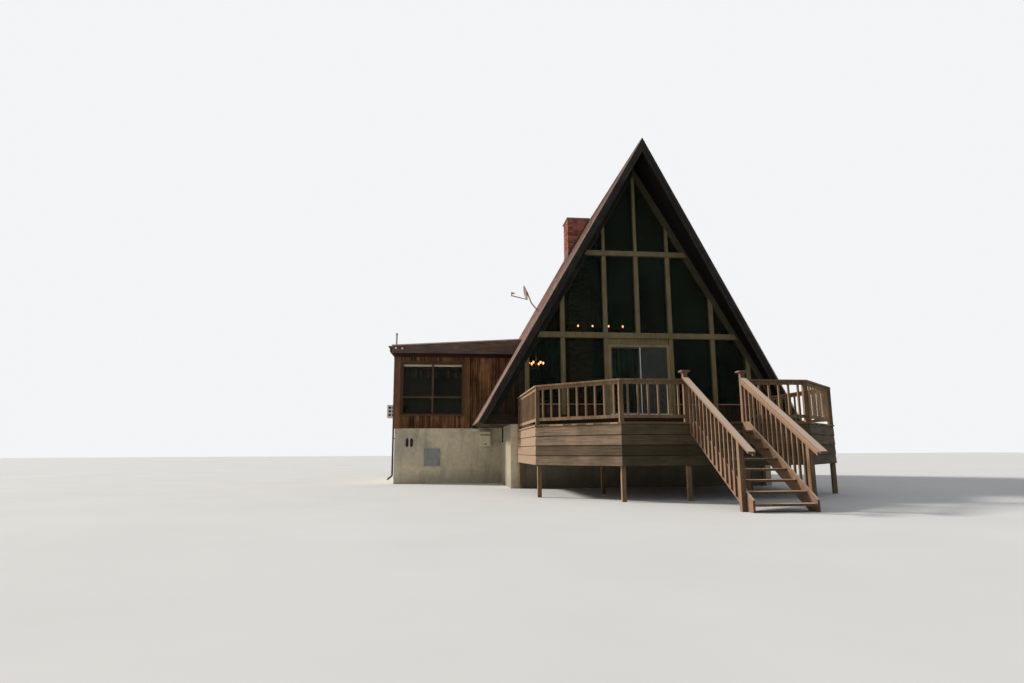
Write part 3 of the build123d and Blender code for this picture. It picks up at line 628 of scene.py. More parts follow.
def timber(name: str, look: Timber) -> bpy.types.Material:
    """Stained timber: growth rings, fibres, weathered patches, and a tone for each board.

    Args:
        name: The material's name.
        look: Its colours, grain and board width.

    Returns:
        The material.
    """
    g = Graph(name)
    along = grain_place(g, look.grain)
    wander = g.noise(g.place, 1.7, 2.0)
    rings = g.noise(along, 38.0, 5.0, 0.62)
    fibres = g.noise(along, 260.0, 2.0, 0.5)
    patches = g.noise(g.place, 3.1, 5.0, 0.6)
    height = g.calc("ADD", g.calc("MULTIPLY", fibres, 0.5), g.calc("MULTIPLY", rings, 0.6))
    value = g.calc("ADD", g.calc("MULTIPLY", rings, 0.55), g.calc("MULTIPLY", wander, 0.30))
    value = g.calc("ADD", value, 0.08)
    groove = None
    if look.board:
        count = g.calc("DIVIDE", g.calc("SUBTRACT", g.axes(g.place)[look.across], look.first), look.board)
        seam = g.calc("ABSOLUTE", g.calc("SUBTRACT", g.calc("FRACT", count), 0.5))
        groove = g.remap(seam, 0.465, 0.492)
        white = g.node("ShaderNodeTexWhiteNoise", {"W": g.calc("FLOOR", count)}, noise_dimensions="1D").outputs[0]
        value = g.calc("ADD", value, g.calc("MULTIPLY", g.calc("SUBTRACT", white, 0.5), 0.25))
    if look.spread:
        value = g.calc("ADD", value, g.calc("MULTIPLY", g.calc("SUBTRACT", g.tone(), 0.5), look.spread))
    reach = 0.29 / look.contrast
    colour = g.ramp(value, (0.5 - reach, look.dark), (0.5, look.middle), (0.5 + reach, look.light))
    colour = g.blend(g.remap(fibres, 0.35, 0.65, 0.0, 0.25), colour, look.dark)
    if look.streaks:
        for across, share in ((14.0, 1.0), (44.0, 0.7)):
            runs = g.noise(g.scaled(g.place, (across, across, 0.45)), 1.0, 5.0, 0.65)
            share = g.remap(runs, 0.50, 0.64, 0.0, look.streaks * share)
            colour = g.blend(share, colour, tuple(c * 0.4 for c in look.dark))
        worn = g.noise(g.scaled(g.place, (34.0, 34.0, 0.6)), 1.0, 3.0, 0.6)
        colour = g.blend(g.remap(worn, 0.56, 0.66, 0.0, 0.55 * look.streaks), colour, look.light)
    if look.foot is not None:
        splash = g.calc("ADD", g.axes(g.place)[2], g.calc("MULTIPLY", wander, 0.3))
        colour = g.blend(g.remap(splash, look.foot + 0.1, look.foot + 0.5, 0.6, 0.0), colour, look.dark)
    colour = g.blend(g.remap(patches, 0.52, 0.72, 0.0, look.dirt_share), colour, look.dirt)
    facing = g.axes(g.node("ShaderNodeNewGeometry").outputs["True Normal"])
    # Painted highlight on faces that look up.
    if look.top_highlight:
        colour = g.blend(g.remap(facing[2], 0.3, 0.9, 0.0, 0.85), colour, look.top_highlight)
    # Painted shade on faces that look down.
    if look.under:
        colour = g.blend(g.remap(facing[2], -0.9, -0.3, 1.0, 0.0), colour, look.under)
    # Painted shade on the upright front and east faces, and a painted highlight on the west faces.
    if look.shaded:
        west = g.calc("MULTIPLY", facing[0], -1.0)
        upright = g.remap(facing[2], 0.2, 0.6, 1.0, 0.0)
        share = g.calc("MULTIPLY", g.remap(west, 0.05, 0.55, look.shade, 0.0), upright)
        colour = g.blend(share, colour, look.shaded)
        colour = g.blend(g.remap(west, 0.72, 0.95, 0.0, look.west_highlight), colour, look.light)
    if groove is not None:
        colour = g.blend(groove, colour, tuple(c * 0.25 for c in look.dark))
        height = g.calc("SUBTRACT", height, g.calc("MULTIPLY", groove, 3.0))
    rough = g.remap(rings, 0.3, 0.7, look.rough + 0.08, look.rough - 0.08)
    return g.finish(colour, rough, g.bump(height, 0.0016), Specular_IOR_Level=0.08)


def masonry() -> bpy.types.Material:
    """Cream paint on rendered blocks: trowel marks, faint coursing, damp foot and drips, with painted shade in grey
    patches, on the west face near the front corner and under the deck.

    Returns:
        The material.
    """
    g = Graph("painted_masonry")
    x, y, z = g.axes(g.place)
    trowel = g.noise(g.place, 9.0, 6.0, 0.6)
    sand = g.noise(g.place, 240.0, 2.0, 0.6)
    patches = g.noise(g.scaled(g.place, (0.8, 0.8, 0.9)), 1.1, 4.0, 0.6)
    drips = g.noise(g.scaled(g.place, (2.6, 2.6, 0.7)), 1.3, 4.0, 0.6)
    colour = g.ramp(trowel, (0.25, (0.54, 0.47, 0.335)), (0.5, (0.63, 0.55, 0.395)), (0.78, (0.71, 0.625, 0.465)))
    # Grey patches, stronger higher up: painted soft shade.
    share = g.calc("MULTIPLY", g.remap(patches, 0.47, 0.66, 0.0, 0.75), g.remap(z, 0.5, 1.5, 0.3, 1.0))
    colour = g.blend(share, colour, (0.29, 0.28, 0.235))
    colour = g.blend(g.remap(drips, 0.50, 0.72, 0.0, 0.45), colour, (0.21, 0.195, 0.15))
    # Dark olive on the west face near the front corner: painted shade under the eave.
    west = g.remap(g.axes(g.node("ShaderNodeNewGeometry").outputs["True Normal"])[0], -0.9, -0.5, 1.0, 0.0)
    eave_shade = g.calc("MULTIPLY", g.remap(g.calc("ABSOLUTE", x), 3.8, 3.9, 0.6, 0.0), g.remap(y, 0.5, 1.5, 1.0, 0.3))
    colour = g.blend(g.calc("MULTIPLY", west, eave_shade), colour, (0.13, 0.112, 0.062))
    edge = g.calc("ADD", z, g.calc("MULTIPLY", g.noise(g.place, 3.2, 4.0), -0.55))
    colour = g.blend(g.remap(edge, -0.12, 0.18, 0.4, 0.0), colour, (0.24, 0.215, 0.16))
    # Near black on the front wall under the deck: painted shade.
    deck_shade = g.remap(g.calc("ABSOLUTE", x), 3.42, 3.62, 0.7, 0.0)
    before = g.calc("MULTIPLY", g.remap(y, 0.02, 0.05, 1.0, 0.0), g.remap(z, 1.45, 1.6, 1.0, 0.0))
    colour = g.blend(g.calc("MULTIPLY", deck_shade, before), colour, (0.085, 0.075, 0.056))
    course = g.calc("FRACT", g.calc("DIVIDE", z, 0.2))
    joint = g.remap(g.calc("ABSOLUTE", g.calc("SUBTRACT", course, 0.5)), 0.47, 0.5)
    height = g.calc("SUBTRACT", trowel, g.calc("MULTIPLY", joint, 0.3))
    normal = g.bump(sand, 0.0012, g.bump(height, 0.007))
    return g.finish(colour, g.remap(trowel, 0.3, 0.7, 0.93, 0.78), normal, Specular_IOR_Level=0.08)


def shingle() -> bpy.types.Material:
    """Weathered red-brown mineral shingles.

    Returns:
        The material.
    """
    g = Graph("roof_shingles")
    granules = g.cells(g.place, 420.0, "Color")
    speck = g.axes(granules)[0]
    streak = g.noise(g.scaled(g.place, (0.5, 5.0, 0.5)), 1.1, 5.0, 0.6)
    patches = g.noise(g.place, 0.8, 4.0, 0.6)
    tone = g.tone()
    value = g.calc("ADD", g.calc("MULTIPLY", speck, 0.42), g.calc("MULTIPLY", tone, 0.5), clamp=True)
    colour = g.ramp(
        value, (0.10, (0.20, 0.118, 0.092)), (0.45, (0.315, 0.195, 0.155)), (0.85, (0.43, 0.29, 0.24))
    )
    colour = g.blend(g.remap(streak, 0.50, 0.72, 0.0, 0.4), colour, (0.15, 0.105, 0.085))
    colour = g.blend(g.remap(patches, 0.52, 0.72, 0.0, 0.35), colour, (0.36, 0.265, 0.22))
    normal = g.bump(speck, 0.0012)
    return g.finish(colour, 0.92, normal, Specular_IOR_Level=0.08)


def roof_slab() -> bpy.types.Material:
    """Roof deck under the shingles: felt above, stained boards below, near black in front of the gable as painted
    shade.

    Returns:
        The material.
    """
    g = Graph("roof_deck")
    x, y, z = g.axes(g.place)
    facing = g.axes(g.node("ShaderNodeNewGeometry").outputs["True Normal"])[2]
    below = g.remap(facing, -0.05, 0.05, 1.0, 0.0)
    count = g.calc("DIVIDE", y, 0.14)
    board = g.node("ShaderNodeTexWhiteNoise", {"W": g.calc("FLOOR", count)}, noise_dimensions="1D").outputs[0]
    seam = g.remap(g.calc("ABSOLUTE", g.calc("SUBTRACT", g.calc("FRACT", count), 0.5)), 0.46, 0.49)
    along = g.joined(g.calc("MULTIPLY", x, 0.4), g.calc("MULTIPLY", y, 14.0), g.calc("MULTIPLY", z, 0.4))
    grain = g.noise(along, 4.0, 5.0, 0.6)
    value = g.calc("ADD", g.calc("MULTIPLY", grain, 0.7), g.calc("MULTIPLY", board, 0.3))
    # Boards in front of the gable are a near-black copy of those inside: painted shade.
    soffit_shade = g.ramp(value, (0.25, (0.006, 0.006, 0.005)), (0.55, (0.013, 0.013, 0.010)), (0.85, (0.028, 0.027, 0.021)))
    ceiling = g.ramp(value, (0.25, (0.045, 0.024, 0.012)), (0.55, (0.095, 0.052, 0.026)), (0.85, (0.15, 0.09, 0.045)))
    wood = g.blend(g.remap(y, 0.0, 0.02), soffit_shade, ceiling)
    wood = g.blend(seam, wood, (0.004, 0.003, 0.002))
    speck = g.axes(g.cells(g.place, 420.0, "Color"))[0]
    felt = g.ramp(speck, (0.0, (0.10, 0.055, 0.042)), (1.0, (0.27, 0.155, 0.12)))
    colour = g.blend(below, felt, wood)
    height = g.calc("SUBTRACT", grain, g.calc("MULTIPLY", g.calc("MULTIPLY", seam, below), 3.0))
    return g.finish(colour, 0.85, g.bump(height, 0.002), Specular_IOR_Level=0.08)


def flat_roofing() -> bpy.types.Material:
    """Mineral felt of the low roof, in laid strips, with boards below.

    Returns:
        The material.
    """
    g = Graph("roll_roofing")
    x, y, z = g.axes(g.place)
    facing = g.axes(g.node("ShaderNodeNewGeometry").outputs["True Normal"])[2]
    below = g.remap(facing, -0.05, 0.05, 1.0, 0.0)
    speck = g.axes(g.cells(g.place, 380.0, "Color"))[0]
    ponding = g.noise(g.place, 0.9, 4.0, 0.6)
    colour = g.ramp(speck, (0.0, (0.13, 0.12, 0.11)), (1.0, (0.33, 0.31, 0.285)))
    colour = g.blend(g.remap(ponding, 0.45, 0.7, 0.0, 0.6), colour, (0.15, 0.135, 0.115))
    lap = g.calc("FRACT", g.calc("DIVIDE", x, 0.9))
    seam = g.remap(lap, 0.0, 0.014, 1.0, 0.0)
    colour = g.blend(g.calc("MULTIPLY", seam, 0.8), colour, (0.04, 0.037, 0.034))
    grain = g.noise(g.scaled(g.place, (1.0, 16.0, 1.0)), 3.0, 5.0, 0.6)
    wood = g.ramp(grain, (0.25, (0.05, 0.028, 0.02)), (0.8, (0.13, 0.075, 0.05)))
    colour = g.blend(below, colour, wood)
    height = g.calc("SUBTRACT", speck, g.calc("MULTIPLY", seam, 4.0))
    return g.finish(colour, 0.88, g.bump(height, 0.001), Specular_IOR_Level=0.08)


def brickwork() -> bpy.types.Material:
    """Red bricks, each with its own tone, burnt patches and soot.

    Returns:
        The material.
    """
    g = Graph("red_brick")
    tone = g.tone()
    body = g.noise(g.place, 26.0, 5.0, 0.6)
    pits = g.cells(g.place, 190.0, "Distance")
    soot = g.noise(g.place, 2.4, 4.0, 0.6)
    value = g.calc("ADD", g.calc("MULTIPLY", tone, 0.6), g.calc("MULTIPLY", body, 0.5), clamp=True)
    colour = g.ramp(value, (0.12, (0.10, 0.03, 0.022)), (0.5, (0.235, 0.082, 0.058)), (0.9, (0.38, 0.15, 0.10)))
    colour = g.blend(g.remap(soot, 0.55, 0.75, 0.0, 0.5), colour, (0.045, 0.03, 0.026))
    normal = g.bump(pits, 0.0015, g.bump(body, 0.003))
    return g.finish(colour, 0.9, normal, Specular_IOR_Level=0.08)


def mortar() -> bpy.types.Material:
    """Mortar and cap of the stack.

    Returns:
        The material.
    """
    g = Graph("mortar")
    sand = g.noise(g.place, 160.0, 4.0, 0.65)
    stain = g.noise(g.place, 5.0, 5.0, 0.6)
    colour = g.ramp(sand, (0.3, (0.19, 0.155, 0.13)), (0.7, (0.34, 0.29, 0.25)))
    colour = g.blend(g.remap(stain, 0.5, 0.75, 0.0, 0.6), colour, (0.12, 0.095, 0.08))
    return g.finish(colour, 0.94, g.bump(sand, 0.002), Specular_IOR_Level=0.08)


def dark_glass(name: str, tint: Colour, dust_and_sheen: float) -> bpy.types.Material:
    """Window glass with a slight wave, dust that scatters a little light and stands in part for a painted sheen, and a
    lamp's light passing through it.

    Args:
        name: The material's name.
        tint: Colour of the light that passes.
        dust_and_sheen: Share of the light that the dustiest patches scatter, as dust and in part as a painted sheen.

    Returns:
        The material.
    """
    g = Graph(name)
    wave = g.noise(g.place, 0.8, 2.0, 0.4)
    dust = g.noise(g.place, 1.3, 7.0, 0.7)
    colour = g.blend(g.remap(dust, 0.45, 0.70, 0.0, 0.35), tint, tuple(c * 0.6 for c in tint))
    passes = g.node("ShaderNodeLightPath").outputs["Is Shadow Ray"]
    return g.finish(
        colour,
        0.0,
        g.bump(wave, 0.01),
        Transmission_Weight=g.remap(dust, 0.35, 0.68, 1.0 - dust_and_sheen * 0.3, 1.0 - dust_and_sheen),
        IOR=1.03,
        Alpha=g.calc("SUBTRACT", 1.0, g.calc("MULTIPLY", passes, 0.45)),
    )


@dataclass(frozen=True)
class Coating:
    """Look of a painted, plated or moulded surface."""

    base: Colour
    worn: Colour
    rough: float = 0.4
    metal: float = 0.0
    wear: float = 0.3
    grain: float = 0.0004


def coating(name: str, look: Coating) -> bpy.types.Material:
    """Painted or plated surface with faded patches, fine pitting and dirt that runs down.

    Args:
        name: The material's name.
        look: Its colours, gloss and wear.

    Returns:
        The material.
    """
    g = Graph(name)
    patches = g.noise(g.place, 7.0, 6.0, 0.65)
    runs = g.noise(g.scaled(g.place, (9.0, 9.0, 0.8)), 2.2, 4.0, 0.6)
    pits = g.noise(g.place, 180.0, 3.0, 0.6)
    share = g.calc("MULTIPLY", g.remap(patches, 0.45, 0.75), look.wear)
    colour = g.blend(share, look.base, look.worn)
    colour = g.blend(g.remap(runs, 0.56, 0.78, 0.0, look.wear), colour, tuple(c * 0.5 for c in look.worn))
    rough = g.remap(patches, 0.3, 0.75, look.rough, min(1.0, look.rough + 0.25))
    return g.finish(colour, rough, g.bump(pits, look.grain), Metallic=look.metal, Specular_IOR_Level=0.25)


def insect_screen() -> bpy.types.Material:
    """Fine woven insect screen: a thread every 1.6 mm that lets most light through.

    Returns:
        The material.
    """
    g = Graph("insect_screen")
    x, y, z = g.axes(g.place)
    threads = []
    for axis in (x, z):
        part = g.calc("FRACT", g.calc("DIVIDE", axis, 0.0016))
        threads.append(g.remap(part, 0.20, 0.24, 1.0, 0.0))
    cover = g.calc("MAXIMUM", *threads)
    dust = g.noise(g.place, 6.0, 4.0)
    colour = g.ramp(dust, (0.3, (0.040, 0.047, 0.042)), (0.7, (0.065, 0.075, 0.068)))
    return g.finish(colour, 0.6, None, Alpha=g.calc("MULTIPLY", cover, 0.9))


def glowing(name: str, colour: Colour, strength: float) -> bpy.types.Material:
    """Frosted bulb that glows.

    Args:
        name: The material's name.
        colour: The light's colour.
        strength: Its strength.

    Returns:
        The material.
    """
    g = Graph(name)
    frost = g.noise(g.place, 90.0, 3.0)
    made = g.finish(colour, g.remap(frost, 0.3, 0.7, 0.35, 0.55))
    g.put(g.shader.inputs["Emission Color"], colour)
    g.put(g.shader.inputs["Emission Strength"], strength)
    return made


class Extra(Enum):
    """Finishes that no slot of the record has."""

    ROOF_TABS = "roof_tabs"
    BRICKS = "bricks"
    PLANKS = "planks"
    SIDING_BOARDS = "siding_boards"
    CORNER = "corner_boards"
    CASING = "casing"
    FLASHING = "flashing"
    MAST = "mast"
    DARK_OLIVE = "dark_olive"
    FRIEZE = "frieze"
    SHADED = "shaded"
    PANEL = "panel"
    STAIR = "stair"
    DOOR_WOOD = "door_wood"
    WING_GLASS = "wing_glass"
    DRIP = "drip_edge"
    BLIND = "blind"
    SLATS = "slats"
    SCREEN = "screen"
    SILVER = "silver"
    WHITE = "white_plastic"
    BEAD = "bead"
    SILL = "sill"
    IRON = "iron"
    BULB = "bulb"
    STAGE = "stage"


RED = Timber(
    (0.026, 0.012, 0.006), (0.150, 0.069, 0.032), (0.39, 0.195, 0.090), spread=0.16, contrast=1.9, streaks=0.78,
    dirt=(0.028, 0.018, 0.012),
)
OLIVE = Timber((0.088, 0.070, 0.034), (0.172, 0.143, 0.073), (0.26, 0.215, 0.12), rough=0.5)
# Deck wood, also of the planks: a painted highlight on tops and west faces, painted shade on upright front and east
# faces.
TAN = Timber(
    (0.070, 0.044, 0.023), (0.225, 0.146, 0.080), (0.46, 0.31, 0.185), dirt_share=0.35, top_highlight=(0.62, 0.47, 0.36),
    shaded=(0.060, 0.044, 0.024), shade=0.35, west_highlight=0.5,
)
BROWN = Timber((0.045, 0.027, 0.019), (0.095, 0.058, 0.040), (0.16, 0.10, 0.07), rough=0.5)
TIMBERS: dict[Enum, Timber] = {
    # Floor boards, with painted shade on their undersides.
    Slot.FLOOR: Timber(
        (0.13, 0.075, 0.04), (0.24, 0.15, 0.085), (0.33, 0.22, 0.13), Grain.Y, 0.4, board=0.12, under=(0.03, 0.022, 0.015)
    ),
    # Rake boards: a dark grey-brown stain taken near black as painted shade.
    Slot.RAKE: Timber((0.010, 0.0095, 0.0085), (0.026, 0.024, 0.021), (0.070, 0.062, 0.053), Grain.SLOPE),
    Slot.GABLE: OLIVE,
    Slot.SIDING: replace(RED, spread=0.0, board=0.10, foot=1.75),
    Slot.WINDOW: BROWN,
    Slot.FASCIA: Timber((0.045, 0.031, 0.024), (0.125, 0.088, 0.069), (0.28, 0.205, 0.17), Grain.LEVEL),
    Slot.DECK: TAN,
    # Deck skirt: strong painted shade in dark olive on the upright front and east faces, and a strong painted highlight
    # on the west faces.
    Slot.SKIRT: Timber(
        (0.075, 0.052, 0.032), (0.160, 0.114, 0.073), (0.39, 0.27, 0.18), Grain.LEVEL,
        board=0.21575, across=2, first=0.714, shaded=(0.015, 0.020, 0.009), shade=0.7, west_highlight=0.8,
    ),
    Extra.PLANKS: replace(TAN, grain=Grain.X, spread=0.4),
    # Stair wood: the deck wood's painted shade and highlights, with a brighter painted highlight on tops.
    Extra.STAIR: replace(
        TAN, dark=(0.050, 0.028, 0.017), middle=(0.165, 0.098, 0.060), light=(0.40, 0.25, 0.16),
        top_highlight=(0.76, 0.59, 0.47),
    ),
    Extra.SIDING_BOARDS: replace(RED, foot=1.75),
    Extra.CORNER: Timber((0.07, 0.030, 0.014), (0.20, 0.092, 0.040), (0.33, 0.165, 0.08), streaks=0.4, spread=0.2),
    Extra.CASING: replace(BROWN, spread=0.15),
    # Darker copies of the gable paint for the rafters: painted shade, near black on the left one.
    Extra.DARK_OLIVE: Timber((0.030, 0.027, 0.016), (0.062, 0.055, 0.034), (0.11, 0.098, 0.062), Grain.SLOPE, 0.55),
    Extra.SHADED: Timber((0.004, 0.0042, 0.0035), (0.011, 0.012, 0.010), (0.026, 0.027, 0.022), Grain.SLOPE, 0.55),
    # Side panels of the gable: the red siding's stain taken near black as painted shade.
    Extra.PANEL: Timber((0.008, 0.006, 0.004), (0.028, 0.018, 0.011), (0.07, 0.044, 0.026), streaks=0.6, board=0.10),
    Extra.DOOR_WOOD: Timber((0.12, 0.095, 0.045), (0.25, 0.205, 0.105), (0.36, 0.30, 0.165), rough=0.5),
    # Frieze and gable base board, stained near black: painted shade under the fascia and the eaves.
    Extra.FRIEZE: Timber((0.012, 0.008, 0.006), (0.030, 0.019, 0.013), (0.06, 0.037, 0.025), Grain.LEVEL, spread=0.1),
    # Glazing beads stained darker than the gable paint: painted shade along the edges of the posts.
    Extra.BEAD: Timber((0.025, 0.020, 0.012), (0.055, 0.044, 0.026), (0.09, 0.072, 0.044), rough=0.5, spread=0.1),
    Extra.SILL: Timber((0.16, 0.11, 0.07), (0.32, 0.235, 0.155), (0.46, 0.36, 0.25), Grain.X, spread=0.1),
}
COATINGS: dict[Enum, Coating] = {
    Slot.DOOR_METAL: Coating((0.055, 0.05, 0.04), (0.10, 0.09, 0.075), 0.42, 0.4, 0.3),
    Slot.DISH: Coating((0.34, 0.24, 0.21), (0.22, 0.14, 0.11), 0.5, 0.0, 0.4),
    Slot.COOLER: Coating((0.72, 0.715, 0.68), (0.44, 0.40, 0.32), 0.42, 0.0, 0.3),
    Slot.METER: Coating((0.78, 0.69, 0.49), (0.55, 0.47, 0.33), 0.45, 0.0, 0.3),
    Slot.HATCH: Coating((0.25, 0.265, 0.25), (0.17, 0.175, 0.16), 0.5, 0.3, 0.5, 0.0008),
    Slot.PIPE: Coating((0.105, 0.075, 0.06), (0.06, 0.042, 0.034), 0.5),
    Extra.FLASHING: Coating((0.055, 0.042, 0.04), (0.10, 0.085, 0.08), 0.45, 0.3, 0.4),
    Extra.MAST: Coating((0.34, 0.32, 0.28), (0.22, 0.20, 0.17), 0.5, 0.3, 0.4),
    Extra.DRIP: Coating((0.60, 0.46, 0.38), (0.40, 0.29, 0.235), 0.5, 0.1, 0.4),
    Extra.BLIND: Coating((0.92, 0.84, 0.64), (0.82, 0.73, 0.52), 0.8),
    # Dark blinds behind the back windows: painted shade of the dim rooms seen through the glass.
    Extra.SLATS: Coating((0.035, 0.037, 0.028), (0.06, 0.058, 0.045), 0.6),
    Extra.SILVER: Coating((0.50, 0.51, 0.49), (0.34, 0.34, 0.31), 0.4, 0.8, 0.3),
    Extra.WHITE: Coating((0.70, 0.69, 0.66), (0.52, 0.49, 0.43), 0.4),
    Extra.IRON: Coating((0.030, 0.028, 0.026), (0.07, 0.045, 0.03), 0.55, 0.3, 0.4),
}


class Palette:
    """Makes each finish once, when it is first asked for."""

    def __init__(self) -> None:
        """Names the recipe of every finish that is neither timber nor coating."""
        self.made: dict[Enum, bpy.types.Material] = {}
        self.recipes: dict[Enum, Callable[[], bpy.types.Material]] = {
            Slot.MASONRY: masonry,
            Slot.SHINGLES: roof_slab,
            Slot.FLAT_ROOF: flat_roofing,
            Slot.BRICK: mortar,
            Slot.CAP: mortar,
            # The gable and door glass pass dark tints, partly the glass's own green and partly painted shade of the dim
            # room behind; the wing's glass passes a pale one.
            Slot.GLASS: lambda: dark_glass("gable_glass", (0.20, 0.30, 0.24), 0.06),
            Slot.DOOR_GLASS: lambda: dark_glass("door_glass", (0.30, 0.42, 0.34), 0.06),
            Extra.WING_GLASS: lambda: dark_glass("wing_glass", (0.82, 0.83, 0.75), 0.02),
            Extra.ROOF_TABS: shingle,
            Extra.BRICKS: brickwork,
            Extra.SCREEN: insect_screen,
            Extra.BULB: lambda: glowing("warm_bulb", (1.0, 0.22, 0.10), 17.0),
            Extra.STAGE: stage_floor,
        }

    def __getitem__(self, key: Enum) -> bpy.types.Material:
        """Gives a finish.

        Args:
            key: The finish.

        Returns:
            Its material.
        """
        if key not in self.made:
            if key in TIMBERS:
                self.made[key] = timber(f"timber_{key.value}", TIMBERS[key])
            elif key in COATINGS:
                self.made[key] = coating(f"coat_{key.value}", COATINGS[key])
            else:
                self.made[key] = self.recipes[key]()
        return self.made[key]


def stage_floor() -> bpy.types.Material:
    """Plain pale studio floor.

    Returns:
        The material.
    """
    g = Graph("studio_floor")
    mottle = g.noise(g.place, 0.35, 3.0)
    colour = g.ramp(mottle, (0.3, (0.70, 0.70, 0.69)), (0.7, (0.74, 0.74, 0.73)))
    return g.finish(colour, 0.9, None, Specular_IOR_Level=0.1)


@dataclass
class Stack:
    """Many small solids gathered into one mesh, each with a tone of its own."""

    name: str
    seed: int = 1
    points: list[Vector] = field(default_factory=list)
    faces: list[tuple[int, ...]] = field(default_factory=list)
    tones: list[float] = field(default_factory=list)

    def __post_init__(self) -> None:
        """Seeds the tones, so that each run gives the same ones."""
        self.chance = random.Random(self.seed)

    def prism(self, outline: Iterable[Vector], shift: Vector, tone: float | None = None) -> None:
        """Adds the solid between an outline and the same outline moved.

        Args:
            outline: Corners of one face.
            shift: Move to the other face.
            tone: The solid's tone, or None for one by chance.
        """
        low = list(outline)
        self.hull(low, [p + shift for p in low], tone)

    def hull(self, low: list[Vector], high: list[Vector], tone: float | None = None) -> None:
        """Adds the solid between two outlines with as many corners.

        Args:
            low: Corners of one face.
            high: Corners of the other face.
            tone: The solid's tone, or None for one by chance.
        """
        first, count = len(self.points), len(low)
        self.points += low + high
        made = [tuple(first + i for i in reversed(range(count)))]
        made.append(tuple(first + count + i for i in range(count)))
        for i in range(count):
            j = (i + 1) % count
            made.append((first + i, first + j, first + count + j, first + count + i))
        self.faces += made
        self.tones += [self.chance.random() if tone is None else tone] * len(made)

    def slab(self, wall: Wall, hole: Hole, near: float, far: float, tone: float | None = None) -> None:
        """Adds an upright board or plate on a wall.

        Args:
            wall: The wall that carries it.
            hole: Its edges along the wall and its levels.
            near: Distance of its back from the wall's face, outwards.
            far: Distance of its front.
            tone: Its tone, or None for one by chance.
        """
        corners = rectangle(hole.left, hole.right, hole.low, hole.high)
        self.prism([wall.point(u, v, near) for u, v in corners], wall.out * (far - near), tone)

    def tube(self, line: list[Vector], radii: list[float], across: Vector, sides: int = 12) -> None:
        """Adds a round bar, dome or bent pipe.

        Args:
            line: Points of its middle line, all in one plane.
            radii: Its radius at each point.
            across: Unit vector square to that plane.
            sides: How many sides its rings have.
        """
        first, last = len(self.points), len(line) - 1
        for i, (spot, radius) in enumerate(zip(line, radii)):
            ahead = (line[min(i + 1, last)] - line[max(i - 1, 0)]).normalized()
            other = ahead.cross(across).normalized()
            for k in range(sides):
                turn = math.tau * k / sides
                self.points.append(spot + (across * math.cos(turn) + other * math.sin(turn)) * radius)
        made = [tuple(first + k for k in reversed(range(sides)))]
        made.append(tuple(first + last * sides + k for k in range(sides)))
        for i in range(last):
            for k in range(sides):
                a, b = first + i * sides + k, first + i * sides + (k + 1) % sides
                made.append((a, b, b + sides, a + sides))
        self.faces += made
        self.tones += [self.chance.random()] * len(made)

    def build(
        self, material: bpy.types.Material, slot: Slot, bevel: float = 0.0, smooth: bool = False, body: str = HOUSE
    ) -> bpy.types.Object:
        """Makes the mesh object and rides it on a body.

        Args:
            material: Its material.
            slot: The record's slot; not used.
            bevel: Width of its eased edges, or 0 for sharp ones.
            smooth: Whether its round faces are shaded smooth.
            body: The body that it rides on.

        Returns:
            The object.
        """
        mesh = bpy.data.meshes.new(self.name)
        mesh.from_pydata(self.points, [], self.faces)
        tone = mesh.attributes.new("tone", "FLOAT", "FACE")
        tone.data.foreach_set("value", self.tones)
        work = bmesh.new()
        work.from_mesh(mesh)
        bmesh.ops.recalc_face_normals(work, faces=work.faces)
        if bevel:
            bmesh.ops.bevel(
                work, geom=work.edges, offset=bevel, offset_type="OFFSET", segments=1, affect="EDGES", profile=0.5
            )
        work.to_mesh(mesh)
        work.free()
        if smooth:
            mesh.shade_smooth()
            mesh.set_sharp_from_angle(angle=math.radians(40))
        made = bpy.data.objects.new(self.name, mesh)
        mesh.materials.append(material)
        bpy.context.scene.collection.objects.link(made)
        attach(made, body)
        LOG.info("%s: %d faces", self.name, len(mesh.polygons))
        return made


class Trade:
    """A group of pieces that one trade would fit on the house."""

    def __init__(self, site: Site, palette: Palette) -> None:
        """Keeps what every group needs.

        Args:
            site: Levels and lines of the house.
            palette: The finishes.
        """
        self.site = site
        self.palette = palette

    def build(self) -> None:
        """Makes the group's pieces."""
        raise NotImplementedError


